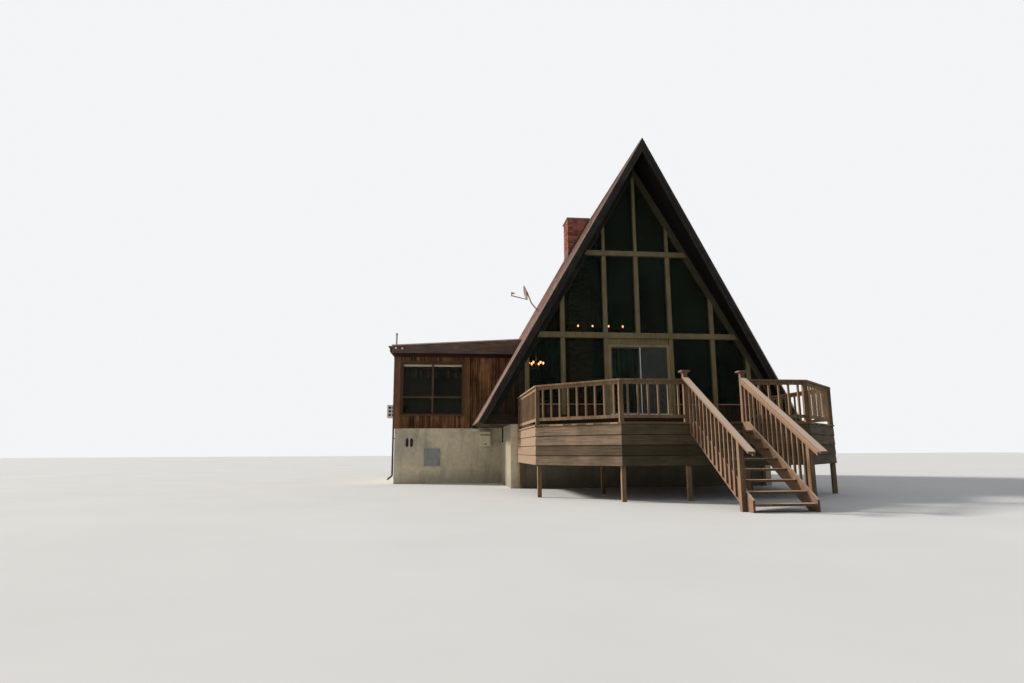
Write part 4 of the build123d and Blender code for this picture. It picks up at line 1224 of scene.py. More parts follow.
class Roofer(Trade):
    """Shingle courses, ridge caps, drip edges and the stack's flashing."""

    rows = 68
    tab_w = 0.30
    slit = 0.008
    butt_t = 0.009
    underlap = 0.012

    def build(self) -> None:
        """Lays both slopes and the ridge."""
        for side, name in ((LEFT, "shingles_left"), (RIGHT, "shingles_right")):
            self.slope(side, name)
        self.ridge()
        self.drip_edges()
        self.stack_flashing()
        self.wing_edges()

    def covered(self, side: int, point: Vector) -> bool:
        """Tells whether the stack or the wing's room covers a place on the roof.

        Args:
            side: LEFT or RIGHT.
            point: The place.

        Returns:
            True where no shingle lies.
        """
        if side == RIGHT:
            return False
        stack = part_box("chimney")
        if stack[0][0] < point.x < stack[1][0] and stack[0][1] + 0.05 < point.y < stack[1][1] - 0.05:
            return True
        wing_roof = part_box("wing_roof")
        inside = wing_roof[0][1] + 0.02 < point.y < wing_roof[1][1] - 0.02
        low = self.site.wing_top if point.y < self.site.wing_front or point.y > self.site.wing_back else 0.0
        return inside and low < point.z < wing_roof[1][2]

    def slope(self, side: int, name: str) -> None:
        """Lays the courses of one slope from the eave up.

        Args:
            side: LEFT or RIGHT.
            name: The piece's name.
        """
        site, work = self.site, Stack(name, 11 + side)
        step = site.slope_len / self.rows
        for row in range(self.rows):
            butt = site.slope_len - row * step
            head = max(0.0, butt - step - self.underlap)
            butt += 0.012 if row == 0 else 0.0
            ends = [site.front_y(site.on_roof(side, u, 0).z) for u in (butt, head)]
            y = min(ends) - (row % 2) * self.tab_w / 2
            while y < site.roof_back:
                last = min(y + self.tab_w - self.slit, site.roof_back)
                tilt = self.butt_t * work.chance.uniform(0.85, 1.15)
                low, high = [], []
                for u, lift, end in ((butt, tilt, ends[0]), (head, 0.003, ends[1])):
                    pair = (max(y, end), max(last, end + 0.001))
                    low.append([site.on_roof(side, u, v, 0.0005) for v in pair])
                    high.append([site.on_roof(side, u, v, lift) for v in pair])
                middle = (low[0][0] + low[1][1]) / 2
                if last > max(ends) and not self.covered(side, middle):
                    work.hull([*low[0], *reversed(low[1])], [*high[0], *reversed(high[1])])
                y += self.tab_w
        work.build(self.palette[Extra.ROOF_TABS], Slot.SHINGLES)

    def ridge(self) -> None:
        """Bends a cap over the ridge every 0.14 m."""
        site, work = self.site, Stack("ridge_caps", 5)
        reach, step = 0.15, 0.14
        y = site.front_y(site.ridge_z)
        while y < site.roof_back - 0.01:
            end = min(y + step + 0.03, site.roof_back)
            for side in (LEFT, RIGHT):
                spots = ((0, y), (reach, y), (reach, end), (0, end))
                low = [site.on_roof(side, u, v, 0.010) for u, v in spots]
                high = [site.on_roof(side, u, v, lift) for (u, v), lift in zip(spots, (0.018, 0.018, 0.013, 0.013))]
                for p in (low[0], low[3], high[0], high[3]):
                    p.z += abs(p.x) / site.slope
                    p.x = 0.0
                work.hull(low, high)
            y += step
        work.build(self.palette[Extra.ROOF_TABS], Slot.SHINGLES)

    def drip_edges(self) -> None:
        """Folds a metal strip over both ends of each slope and along its eave."""
        site, work = self.site, Stack("drip_edges", 6)
        far = site.slope_len + 0.012
        for side in (LEFT, RIGHT):
            for top, drop, start, end in ((0.0125, 0.0100, -0.003, 0.065), (0.0125, -0.030, -0.003, 0.0)):
                for front in (True, False):
                    rings = []
                    for down in (0.0, far):
                        edge = site.front_y(site.on_roof(side, down, 0).z) if front else site.roof_back
                        turn = 1 if front else -1
                        rings.append(
                            [
                                site.on_roof(side, down, edge + turn * y, lift)
                                for y, lift in ((start, drop), (end, drop), (end, top), (start, top))
                            ]
                        )
                    work.hull(*rings)
            low = [site.on_roof(side, far, y, lift) for y, lift in self.eave_line(-0.030)]
            work.prism(low, site.on_roof(side, 0.003, 0) - site.on_roof(side, 0, 0))
        work.build(self.palette[Extra.DRIP], Slot.SHINGLES)

    def eave_line(self, drop: float) -> list[Pair]:
        """Outline of the strip along an eave, as places along the house and lifts.

        Args:
            drop: How far it hangs below the roof's surface.

        Returns:
            Its four corners.
        """
        start = self.site.rake_foot_y
        return [(start, drop), (self.site.roof_back, drop), (self.site.roof_back, 0.010), (start, 0.010)]

    def stack_flashing(self) -> None:
        """Dresses metal round the stack where it comes through the left slope."""
        site, work = self.site, Stack("stack_flashing", 7)
        low, high = (Vector(p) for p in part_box("chimney"))
        up, thick = 0.16, 0.004

        def level(x: float) -> float:
            return site.ridge_z - abs(x) * site.slope

        for y, out in ((low.y, -1), (high.y, 1)):
            face = out * 0.009
            line = [(x, level(x)) for x in (low.x, high.x)]
            outline = [(x, z - 0.02) for x, z in line] + [(x, min(z + up, high.z - 0.01)) for x, z in reversed(line)]
            work.prism([Vector((x, y + face, z)) for x, z in outline], Vector((0, out * thick, 0)))
            flange = [site.on_roof(LEFT, u, y + v, 0.014) for u, v in self.flange(low.x, high.x, out)]
            work.prism(flange, Vector((0, 0, thick)))
        apron = [(low.x - 0.012, low.y - 0.05), (low.x - 0.012, high.y + 0.05)]
        foot = level(low.x)
        base = [Vector((x, y, foot - 0.03)) for x, y in apron]
        work.prism([*base, *(p + UP * (up + 0.03) for p in reversed(base))], Vector((-thick, 0, 0)))
        lap = [site.on_roof(LEFT, abs(low.x) * 2 + u, y, 0.014) for u in (0.0, 0.14) for _, y in apron]
        work.prism([lap[0], lap[1], lap[3], lap[2]], Vector((-thick, 0, thick)))
        work.build(self.palette[Extra.FLASHING], Slot.PIPE)

    def flange(self, x0: float, x1: float, out: int) -> list[Pair]:
        """Outline of the metal that lies on the roof beside the stack.

        Args:
            x0: Lower end of the stack.
            x1: Upper end of the stack.
            out: Direction away from the stack along Y.

        Returns:
            Corners as distances down the slope and along Y.
        """
        return [(abs(x0) * 2, 0.0), (abs(x1) * 2, 0.0), (abs(x1) * 2, out * 0.08), (abs(x0) * 2, out * 0.08)]

    def wing_edges(self) -> None:
        """Caps the fascia of the low roof and hangs the gutter on its left side."""
        site = self.site
        low, high = (Vector(p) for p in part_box("wing_fascia"))
        rise = math.tan(math.radians(3.44))
        cap, reach = Stack("wing_roof_edge", 8), -site.slope_x(high.z) + 0.02
        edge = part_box("wing_roof")[0][0]
        top = site.wing_top + 0.19 + 0.025

        def lip(x: float) -> float:
            return top + (x - edge) * rise

        for y, out in ((low.y, -1), (high.y, 1)):
            for near, far, drop, rise_to in ((0.0, 0.008, -0.026, 0.006), (-0.045, 0.008, 0.0, 0.006)):
                ends = [
                    [
                        Vector((x, y + out * v, lip(x) + w))
                        for v, w in ((near, drop), (far, drop), (far, rise_to), (near, rise_to))
                    ]
                    for x in (low.x - 0.008, reach - 0.045)
                ]
                cap.hull(*ends)
        base = [Vector((x, low.y - 0.008, lip(x))) for x in (low.x - 0.008, low.x + 0.045)]
        cap.prism([*base, *(p + UP * 0.006 for p in reversed(base))], Vector((0, high.y - low.y + 0.016, 0)))
        cap.build(self.palette[Extra.DRIP], Slot.FASCIA)
        self.gutter(low, high, lip(low.x))

    def gutter(self, low: Vector, high: Vector, top: float) -> None:
        """Hangs a half-round gutter with its end caps, straps and outlet.

        Args:
            low: Lowest corner of the fascia.
            high: Highest corner of the fascia.
            top: Level of the fascia's upper edge.
        """
        work, radius, thick = Stack("wing_gutter", 9), 0.058, 0.003
        middle = Vector((low.x - radius - 0.002, low.y + 0.02, top - 0.035))
        arcs = []
        for r in (radius, radius - thick):
            turns = [math.pi * (1 + i / 10) for i in range(11)]
            arcs.append([middle + Vector((math.cos(a) * r, 0, math.sin(a) * r)) for a in turns])
        run = Vector((0, high.y - low.y - 0.04, 0))
        for i in range(10):
            work.prism([arcs[0][i], arcs[0][i + 1], arcs[1][i + 1], arcs[1][i]], run, 0.5)
        for shift in (Vector((0, -thick, 0)), run):
            work.prism([p + shift for p in arcs[0]], Vector((0, thick, 0)), 0.5)
        count = 6
        for i in range(count):
            spot = middle + run * ((i + 0.5) / count) + UP * 0.004
            work.prism(
                [spot + Vector((x, y, 0)) for x, y in rectangle(-radius, radius, -0.012, 0.012)], UP * 0.003, 0.5
            )
        pipe_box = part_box("rain_pipe")
        pipe_x, pipe_y = pipe_box[1][0] - 0.05, (pipe_box[0][1] + pipe_box[1][1]) / 2
        bend = [(middle.x, middle.z - 0.05), (middle.x, middle.z - 0.12), (middle.x + 0.02, middle.z - 0.16)]
        bend += [(pipe_x - 0.02, middle.z - 0.29), (pipe_x, middle.z - 0.33), (pipe_x, middle.z - 0.40)]
        work.tube([Vector((x, pipe_y, z)) for x, z in bend], [0.033] * 6, BACK, 16)
        work.build(self.palette[Slot.PIPE], Slot.PIPE, smooth=True)


class Mason(Trade):
    """Bricks of the stack."""

    brick = 0.205
    course = 0.0755
    joint = 0.009
    proud = 0.005

    def build(self) -> None:
        """Lays the bricks in running bond round the stack."""
        low, high = (Vector(p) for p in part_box("chimney"))
        work = Stack("chimney_bricks", 31)
        rows = round((high.z - low.z) / self.course)
        step = (high.z - low.z) / rows
        faces = [
            (Wall(low.y, FRONT), low.x, high.x, 0),
            (Wall(high.y, BACK), low.x, high.x, 0),
            (Wall(low.x, WEST), low.y, high.y, 1),
            (Wall(high.x, Vector((1, 0, 0))), low.y, high.y, 1),
        ]
        for row in range(rows):
            z0 = low.z + row * step + self.joint / 2
            z1 = z0 + step - self.joint
            for wall, start, end, turn in faces:
                own = (row + turn) % 2 == 0
                first, last = (start - self.proud, end + self.proud) if own else (start, end)
                count = max(1, round((last - first) / self.brick))
                wide = (last - first) / count
                for i in range(count):
                    hole = Hole(first + i * wide, first + (i + 1) * wide - self.joint, z0, z1)
                    work.slab(wall, hole, -0.02, self.proud * work.chance.uniform(0.7, 1.2))
        work.build(self.palette[Extra.BRICKS], Slot.BRICK)


class Carpenter(Trade):
    """Siding boards, corner boards, window trims, sills and deck planks."""

    board = 0.100
    board_t = 0.016
    joint = 0.007

    def __init__(self, site: Site, palette: Palette) -> None:
        """Finds the walls and windows.

        Args:
            site: Levels and lines of the house.
            palette: The finishes.
        """
        super().__init__(site, palette)
        floor = site.floor_top
        self.wing_window = Hole(site.wing_left + 0.18, site.wing_left + 2.23, floor + 0.15, floor + 1.90)
        self.back_windows = [Hole(x - 0.6, x + 0.6, floor + 0.75, floor + 2.05) for x in (-1.5, 1.5)]
        self.back_windows.append(Hole(-0.55, 0.55, floor + 3.55, floor + 4.65))
        self.wing_walls = [Wall(site.wing_front, FRONT), Wall(site.wing_back, BACK)]
        self.back_wall = Wall(site.back_y, BACK)

    def build(self) -> None:
        """Boards the wing and the back gable, trims the windows and planks the deck."""
        self.siding()
        self.corners()
        self.casings()
        self.sills()
        self.deck()

    def wall_boards(self, work: Stack, wall: Wall, outline: list[Pair], holes: list[Hole]) -> None:
        """Covers a wall with upright boards.

        Args:
            work: The stack that takes the boards.
            wall: The wall.
            outline: The wall's outline, as places along it and heights.
            holes: Its openings.
        """
        start, end = min(p[0] for p in outline), max(p[0] for p in outline)
        edges = sorted({start, end, *(e for hole in holes for e in (hole.left, hole.right))})
        for left, right in zip(edges, edges[1:]):
            count = max(1, round((right - left) / self.board))
            wide = (right - left) / count
            for i in range(count):
                x0 = left + i * wide + self.joint / 2
                x1 = left + (i + 1) * wide - self.joint / 2
                spans = [(-1.0, 20.0)]
                for hole in holes:
                    if hole.left < (x0 + x1) / 2 < hole.right:
                        spans = [s for a, b in spans for s in ((a, min(b, hole.low)), (max(a, hole.high), b))]
                tone = work.chance.random()
                for low, high in spans:
                    piece = clipped(clipped(outline, -1, 0, -x0), 1, 0, x1)
                    piece = clipped(clipped(piece, 0, -1, -low), 0, 1, high) if piece else []
                    if piece:
                        work.prism([wall.point(*p) for p in piece], wall.out * self.board_t, tone)

    def siding(self) -> None:
        """Boards the three walls of the wing and the back gable."""
        site = self.site
        low = site.found_top - 0.01
        meet, top = -site.slope_x(low), -site.slope_x(site.wing_top)
        outline = [(site.wing_left, low), (meet, low), (top, site.wing_top), (site.wing_left, site.wing_top)]
        work = Stack("siding_wing", 3)
        for wall in self.wing_walls:
            self.wall_boards(work, wall, outline, [self.wing_window])
        side = rectangle(site.wing_front, site.wing_back, low, site.wing_top)
        self.wall_boards(work, Wall(site.wing_left, WEST), side, [])
        work.build(self.palette[Extra.SIDING_BOARDS], Slot.SIDING, bevel=0.002)
        work = Stack("siding_back", 4)
        half = site.slope_x(low, site.roof_t)
        gable = [(-half, low), (half, low), (0.0, site.ridge_z - site.roof_t / math.cos(site.pitch))]
        self.wall_boards(work, self.back_wall, gable, self.back_windows)
        work.build(self.palette[Extra.SIDING_BOARDS], Slot.SIDING, bevel=0.002)

    def corners(self) -> None:
        """Nails the corner boards of the wing and the upright beside its windows."""
        site, work = self.site, Stack("corner_boards", 12)
        low, top, thick = site.found_top - 0.015, site.wing_top, 0.026
        hole = self.wing_window
        for wall in self.wing_walls:
            work.slab(wall, Hole(site.wing_left - thick, hole.left - 0.045, low, top), 0.0, thick, 0.6)
            work.slab(wall, Hole(hole.right + 0.045, hole.right + 0.20, low, top), 0.0, thick, 0.5)
        side = Wall(site.wing_left, WEST)
        for start, end in ((site.wing_front, site.wing_front + 0.1), (site.wing_back - 0.1, site.wing_back)):
            work.slab(side, Hole(start, end, low, top), 0.0, thick, 0.4)
        work.build(self.palette[Extra.CORNER], Slot.SIDING, bevel=0.002)
        # A frieze board under the fascia, stained near black as painted shade of the fascia's overhang.
        work, foot = Stack("wing_frieze", 15), site.wing_top - 0.15
        for wall in self.wing_walls:
            outline = [(-site.slope_x(foot), foot), (-site.slope_x(site.wing_top), site.wing_top)]
            outline += [(site.wing_left - 0.032, site.wing_top), (site.wing_left - 0.032, foot)]
            work.prism([wall.point(*p) for p in outline], wall.out * 0.034)
        work.slab(side, Hole(site.wing_front, site.wing_back, foot, site.wing_top), 0.0, 0.034)
        work.build(self.palette[Extra.FRIEZE], Slot.FASCIA, bevel=0.002)

    def casings(self) -> None:
        """Frames each window and gives it a sloping sill."""
        work = Stack("window_casings", 13)
        rows = [(wall, self.wing_window) for wall in self.wing_walls]
        rows += [(self.back_wall, hole) for hole in self.back_windows]
        for wall, hole in rows:
            wide, back, front = 0.045, -0.025, self.board_t + 0.020
            outer = hole.grown(wide)
            work.slab(wall, Hole(outer.left, hole.left, hole.low, outer.high), back, front)
            work.slab(wall, Hole(hole.right, outer.right, hole.low, outer.high), back, front)
            work.slab(wall, Hole(hole.left, hole.right, hole.high, outer.high), back, front + 0.006)
            profile = [(back, hole.low + 0.022), (0.066, hole.low + 0.008), (0.066, hole.low - 0.02), (back, hole.low - 0.024)]
            work.hull(*([wall.point(u, v, d) for d, v in profile] for u in (outer.left - 0.015, outer.right + 0.015)))
        work.build(self.palette[Extra.CASING], Slot.WINDOW, bevel=0.0015)

    def sills(self) -> None:
        """Lays a light sill on the boarded panels under the gable's panes."""
        site, work = self.site, Stack("gable_sills", 14)
        front = Wall(site.face_y, FRONT)
        level = site.floor_top + 0.31
        for side in (LEFT, RIGHT):
            for near, far in ((1.054, 2.219), (2.349, 3.285)):
                left, right = sorted((side * near, side * far))
                profile = [(-0.058, level + 0.012), (0.014, level + 0.002), (0.014, level - 0.022), (-0.040, level - 0.022)]
                work.hull(*([front.point(u, v, d) for d, v in profile] for u in (left + 0.002, right - 0.002)))
        work.build(self.palette[Extra.SILL], Slot.GABLE)

    def deck(self) -> None:
        """Planks the deck, with a gap between planks, and hides the plain slab."""
        low, high = (Vector(p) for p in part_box("deck_boards"))
        skirt = Vector(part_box("deck_skirt")[1])
        nosing = high.x - skirt.x
        work = Stack("deck_planks", 21)
        plank, gap = 0.140, 0.006
        corner_y, front_half = self.site.face_y - 3.49, 2.078
        run, fall = skirt.x - front_half, low.y + nosing - corner_y
        size = math.hypot(run, fall)
        a, b = -fall / size, -run / size
        y = high.y
        while y > low.y + 0.02:
            end = max(y - plank + gap, low.y)
            outline = rectangle(-high.x, high.x, end, y)
            for side in (LEFT, RIGHT):
                limit = a * skirt.x + b * corner_y + nosing
                outline = clipped(outline, side * a, b, limit)
            tone = work.chance.random()
            middle = work.chance.choice((-1.24, 0.0, 1.24))
            for part in (clipped(outline, 1, 0, middle - 0.002), clipped(outline, -1, 0, -middle - 0.002)):
                if part:
                    work.prism([Vector((x, v, low.z)) for x, v in part], UP * (high.z - low.z), tone)
            y -= plank
        made = work.build(self.palette[Extra.PLANKS], Slot.DECK, bevel=0.002)
        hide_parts("deck_boards")


class Glazier(Trade):
    """Beads round the gable's panes, blinds and the door's insect screen."""

    posts = ((2.05, 4.305, 0.065, (-3.3501, -2.2841, -0.989, 0.989, 2.2841, 3.3501)),
             (4.465, 6.8375, 0.065, (-2.2841, -0.989, 0.0, 0.989, 2.2841)),
             (6.9825, 9.42, 0.045, (-0.989, 0.0, 0.989)))

    def build(self) -> None:
        """Beads the panes and hangs the blinds and the screen."""
        self.beads()
        self.blinds()
        self.screen()

    def panes(self) -> list[list[Pair]]:
        """Outlines of the gable's panes.

        Returns:
            Their corners as X and Z.
        """
        found = []
        for low, high, half, posts in self.posts:
            low = max(low, self.site.floor_top + 0.31)
            edges = [-9.0, *(e for x in posts for e in (x - half, x + half)), 9.0]
            for left, right in zip(edges[::2], edges[1::2]):
                if low < 3.0 and (abs(left + right) < 0.1 or max(abs(left), abs(right)) > 3.4):
                    continue
                outline = rectangle(left, right, low, high)
                line = self.site.ridge_z - 0.36 / math.cos(self.site.pitch)
                for side in (LEFT, RIGHT):
                    outline = clipped(outline, side * self.site.slope, 1.0, line) if outline else []
                if outline:
                    found.append(outline)
        return found

    def beads(self) -> None:
        """Runs a bead round each pane, stained dark as painted shade along the posts' edges."""
        work, front = Stack("glazing_beads", 41), Wall(self.site.face_y, FRONT)
        for pane in self.panes():
            inner = inset(pane, 0.016)
            for i, j in zip(range(len(pane)), [*range(1, len(pane)), 0]):
                corners = [pane[i], pane[j], inner[j], inner[i]]
                work.prism([front.point(u, v, -0.0605) for u, v in corners], FRONT * 0.018)
        work.build(self.palette[Extra.BEAD], Slot.GABLE)

    def slats(self, work: Stack, wall: Wall, hole: Hole, depth: float, pitch: float) -> None:
        """Hangs closed slats in a window, with their head rail.

        Args:
            work: The stack that takes the slats.
            wall: The window's wall.
            hole: The area that they cover.
            depth: How far inside the wall's face they hang.
            pitch: Distance between slats.
        """
        z = hole.low
        while z < hole.high - pitch:
            profile = [(-depth - 0.012, z), (-depth - 0.009, z), (-depth, z + pitch * 1.15), (-depth - 0.003, z + pitch * 1.15)]
            work.hull(*([wall.point(u, v, d) for d, v in profile] for u in (hole.left, hole.right)))
            z += pitch
        work.slab(wall, Hole(hole.left, hole.right, z, hole.high), -depth - 0.03, -depth + 0.002)

    def blinds(self) -> None:
        """Hangs dark blinds in the back windows, as painted shade of the dim rooms seen through the glass, and cream
        ones at the top of the wing's front window.
        """
        site, work = self.site, Stack("back_blinds", 42)
        trade = Carpenter(site, self.palette)
        for hole in trade.back_windows:
            self.slats(work, trade.back_wall, hole.grown(0.03), 0.150, 0.045)
        self.slats(work, trade.wing_walls[1], trade.wing_window.grown(-0.004), 0.122, 0.045)
        work.build(self.palette[Extra.SLATS], Slot.WINDOW)
        work = Stack("wing_blinds", 43)
        hole = trade.wing_window
        for left, right in ((hole.left + 0.06, hole.left + 0.995), (hole.left + 1.055, hole.right - 0.06)):
            self.slats(work, trade.wing_walls[0], Hole(left, right, hole.high - 0.125, hole.high - 0.01), 0.120, 0.018)
        work.build(self.palette[Extra.BLIND], Slot.WINDOW)

    def screen(self) -> None:
        """Frames an insect screen in front of the sliding leaf."""
        site = self.site
        front = Wall(site.face_y, FRONT)
        hole = Hole(0.030, 0.850, site.floor_top + 0.036, site.floor_top + 1.992)
        frame, stile, bar = Stack("screen_frame", 44), Stack("screen_stile", 46), 0.022
        inner = hole.grown(-bar)
        for part in (
            Hole(inner.right, hole.right, hole.low, hole.high),
            Hole(inner.left, inner.right, hole.low, inner.low),
            Hole(inner.left, inner.right, inner.high, hole.high),
        ):
            frame.slab(front, part, -0.062, -0.046)
        frame.build(self.palette[Slot.DOOR_METAL], Slot.DOOR_METAL, bevel=0.0015)
        stile.slab(front, Hole(hole.left, inner.left, hole.low, hole.high), -0.062, -0.044)
        stile.slab(front, Hole(-0.924, 0.924, site.floor_top, site.floor_top + 0.020), -0.012, 0.030)
        stile.build(self.palette[Extra.SILVER], Slot.DOOR_METAL, bevel=0.0015)
        mesh = Stack("screen_mesh", 45)
        mesh.slab(front, inner.grown(0.004), -0.0545, -0.0540, 0.5)
        mesh.build(self.palette[Extra.SCREEN], Slot.DOOR_METAL)


class Fitter(Trade):
    """Lamps, vents, insulators and the details of the boxes on the wing's wall."""

    def build(self) -> None:
        """Fits the small pieces."""
        self.wall_fittings()
        self.lamps()

    def wall_fittings(self) -> None:
        """Fits vents, the meter's cover, the conduit and the hatch's edges."""
        site = self.site
        wing = Wall(site.wing_front, FRONT)
        dark = Stack("wing_vents", 51)
        for x in (-6.893, -6.748):
            shape = [(-0.020, 1.17), (0.020, 1.17), (0.045, 1.21), (0.045, 1.40), (0.018, 1.455), (-0.018, 1.455)]
            shape += [(-0.045, 1.40), (-0.045, 1.21)]
            dark.prism([wing.point(x + u, v) for u, v in shape], FRONT * 0.006)
            for i in range(5):
                z = 1.225 + i * 0.034
                profile = [(0.006, z + 0.026), (0.024, z), (0.027, z + 0.003), (0.009, z + 0.030)]
                dark.hull(*([wing.point(u, v, d) for d, v in profile] for u in (x - 0.040, x + 0.040)))
        box = [Vector(p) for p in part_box("meter_box")]
        front = Wall(box[0].y, FRONT)
        lid_shadow_z = box[1].z - 0.17
        # A dark strip under the meter's lid: painted shadow of the lid's lip.
        dark.slab(front, Hole(box[0].x + 0.012, box[1].x - 0.012, lid_shadow_z, lid_shadow_z + 0.022), 0.0, 0.004)
        dark.slab(front, Hole(box[0].x + 0.14, box[0].x + 0.21, box[0].z + 0.05, box[0].z + 0.08), 0.006, 0.018)
        cooler = [Vector(p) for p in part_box("ac_unit")]
        middle = (cooler[0] + cooler[1]) / 2
        # Dark plates behind the cooler's openings: painted shade inside the unit; the louvres in them are dark metal.
        for wall in (Wall(cooler[0].y, FRONT), Wall(cooler[1].y, BACK)):
            for x in (middle.x - 0.06, middle.x + 0.06):
                for z in (middle.z - 0.12, middle.z, middle.z + 0.12):
                    dark.slab(wall, Hole(x - 0.04, x + 0.04, z - 0.035, z + 0.035), -0.0305, -0.022)
                    for k in (-0.018, 0.0, 0.018):
                        dark.slab(wall, Hole(x - 0.04, x + 0.04, z + k - 0.002, z + k + 0.002), -0.023, -0.012)
        conduit = [Vector((-site.found_half - 0.022, 2.12, z)) for z in (1.30, 1.34, site.found_top)]
        dark.tube(conduit, [0.026, 0.020, 0.020], WEST, 12)
        for z in (1.45, 1.66):
            dark.tube([Vector((-site.found_half - 0.022, 2.12, z + k)) for k in (0.0, 0.025)], [0.024, 0.024], WEST, 12)
        dark.build(self.palette[Extra.IRON], Slot.PIPE)
        cover = Stack("meter_cover", 52)
        cover.slab(front, Hole(box[0].x + 0.012, box[1].x - 0.012, box[0].z + 0.012, lid_shadow_z - 0.004), 0.0, 0.010)
        cover.slab(front, Hole(box[0].x - 0.012, box[1].x + 0.012, lid_shadow_z + 0.026, lid_shadow_z + 0.036), -0.05, 0.014)
        cover.build(self.palette[Slot.METER], Slot.METER, bevel=0.002)
        hatch = [Vector(p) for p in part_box("crawl_hatch")]
        face = Wall(hatch[0].y, FRONT)
        rim = Stack("hatch_rim", 53)
        whole = Hole(hatch[0].x, hatch[1].x, hatch[0].z, hatch[1].z)
        inner = whole.grown(-0.025)
        for part in (
            Hole(whole.left, inner.left, whole.low, whole.high),
            Hole(inner.right, whole.right, whole.low, whole.high),
            Hole(inner.left, inner.right, whole.low, inner.low),
            Hole(inner.left, inner.right, inner.high, whole.high),
            Hole(inner.left + 0.19, inner.right - 0.19, inner.high - 0.11, inner.high - 0.07),
        ):
            rim.slab(face, part, 0.0, 0.008)
        for x in (whole.left + 0.012, whole.right - 0.012):
            for z in (whole.low + 0.05, whole.high - 0.05):
                rim.tube([face.point(x, z, 0.006), face.point(x, z, 0.013)], [0.008, 0.006], UP, 8)
        rim.build(self.palette[Slot.HATCH], Slot.HATCH)

    def lamps(self) -> None:
        """Hangs the porch lamp, the bulbs over the beam and the chandelier in the main room."""
        site = self.site
        white, glow, iron = Stack("white_fittings", 54), Stack("bulbs", 55), Stack("lamp_iron", 56)
        fascia = Wall(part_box("wing_fascia")[0][1], FRONT)
        for x, z in ((-7.307, 4.377), (-7.099, 4.367)):
            line = [fascia.point(x, z, d) for d in (0.0, 0.012, 0.014, 0.030, 0.032, 0.050, 0.058)]
            white.tube(line, [0.012, 0.012, 0.030, 0.034, 0.020, 0.030, 0.012], UP, 14)
        porch = Wall(site.wing_front, FRONT)
        line = [porch.point(-4.685, 1.714, d) for d in (0.0, 0.012, 0.014, 0.030)]
        white.tube(line, [0.050, 0.050, 0.030, 0.030], UP, 20)
        for near, far, wide, low in ((0.030, 0.085, 0.110, 1.682), (0.085, 0.100, 0.085, 1.690)):
            shape = [(-wide, 1.744), (-wide, 1.705), (-wide * 0.7, low), (wide * 0.7, low), (wide, 1.705), (wide, 1.744)]
            white.prism([porch.point(-4.685 + u, v, near) for u, v in shape], FRONT * (far - near))
        white.build(self.palette[Extra.WHITE], Slot.COOLER, smooth=True)
        inside = Wall(0.04, BACK)
        for x in (-1.780, -1.340, -0.850, -0.415):
            foot = inside.point(x, 4.44, 0.0)
            iron.tube([foot, foot + Vector((0, 0.045, 0)), foot + Vector((0, 0.05, 0.03))], [0.012, 0.012, 0.010], WEST, 10)
            stem = foot + Vector((0, 0.05, 0.03))
            iron.tube([stem, stem + UP * 0.19], [0.010, 0.014], WEST, 10)
            self.bulb(glow, stem + UP * 0.19, 0.024)
        heart = Vector((-2.74, 2.2, 3.76))
        ceiling = site.ridge_z - (site.roof_t / math.cos(site.pitch)) - abs(heart.x) * site.slope
        iron.tube([heart, Vector((heart.x, heart.y, ceiling))], [0.012, 0.012], WEST, 10)
        iron.tube([heart + UP * z for z in (-0.16, -0.13, -0.03, 0.05, 0.10)], [0.01, 0.035, 0.05, 0.03, 0.012], WEST, 14)
        for i in range(6):
            turn = math.tau * i / 6
            out = Vector((math.cos(turn), math.sin(turn), 0))
            arm = [heart + out * r + UP * z for r, z in ((0.03, -0.05), (0.10, -0.10), (0.19, -0.08), (0.235, 0.0))]
            iron.tube(arm, [0.010] * 4, out.cross(UP), 8)
            iron.tube([arm[-1], arm[-1] + UP * 0.02, arm[-1] + UP * 0.05], [0.03, 0.022, 0.014], out.cross(UP), 10)
            self.bulb(glow, arm[-1] + UP * 0.05, 0.032)
        iron.build(self.palette[Extra.IRON], Slot.PIPE, smooth=True)
        glow.build(self.palette[Extra.BULB], Slot.COOLER, smooth=True)
        data = bpy.data.lights.new("chandelier_light", "POINT")
        data.energy = 34.0
        data.color = (1.0, 0.62, 0.30)
        data.shadow_soft_size = 0.08
        made = bpy.data.objects.new("chandelier_light", data)
        made.visible_camera = made.visible_glossy = made.visible_transmission = False
        made.location = heart + Vector((0, 0, 0.25))
        bpy.context.scene.collection.objects.link(made)

    def bulb(self, work: Stack, foot: Vector, radius: float) -> None:
        """Adds a round bulb.

        Args:
            work: The stack that takes it.
            foot: Where its neck starts.
            radius: Its radius.
        """
        heights = (0.0, 0.4, 0.9, 1.5, 2.1, 2.5, 2.7)
        widths = (0.35, 0.5, 0.88, 1.0, 0.8, 0.45, 0.1)
        work.tube([foot + UP * (h * radius) for h in heights], [w * radius for w in widths], WEST, 14)


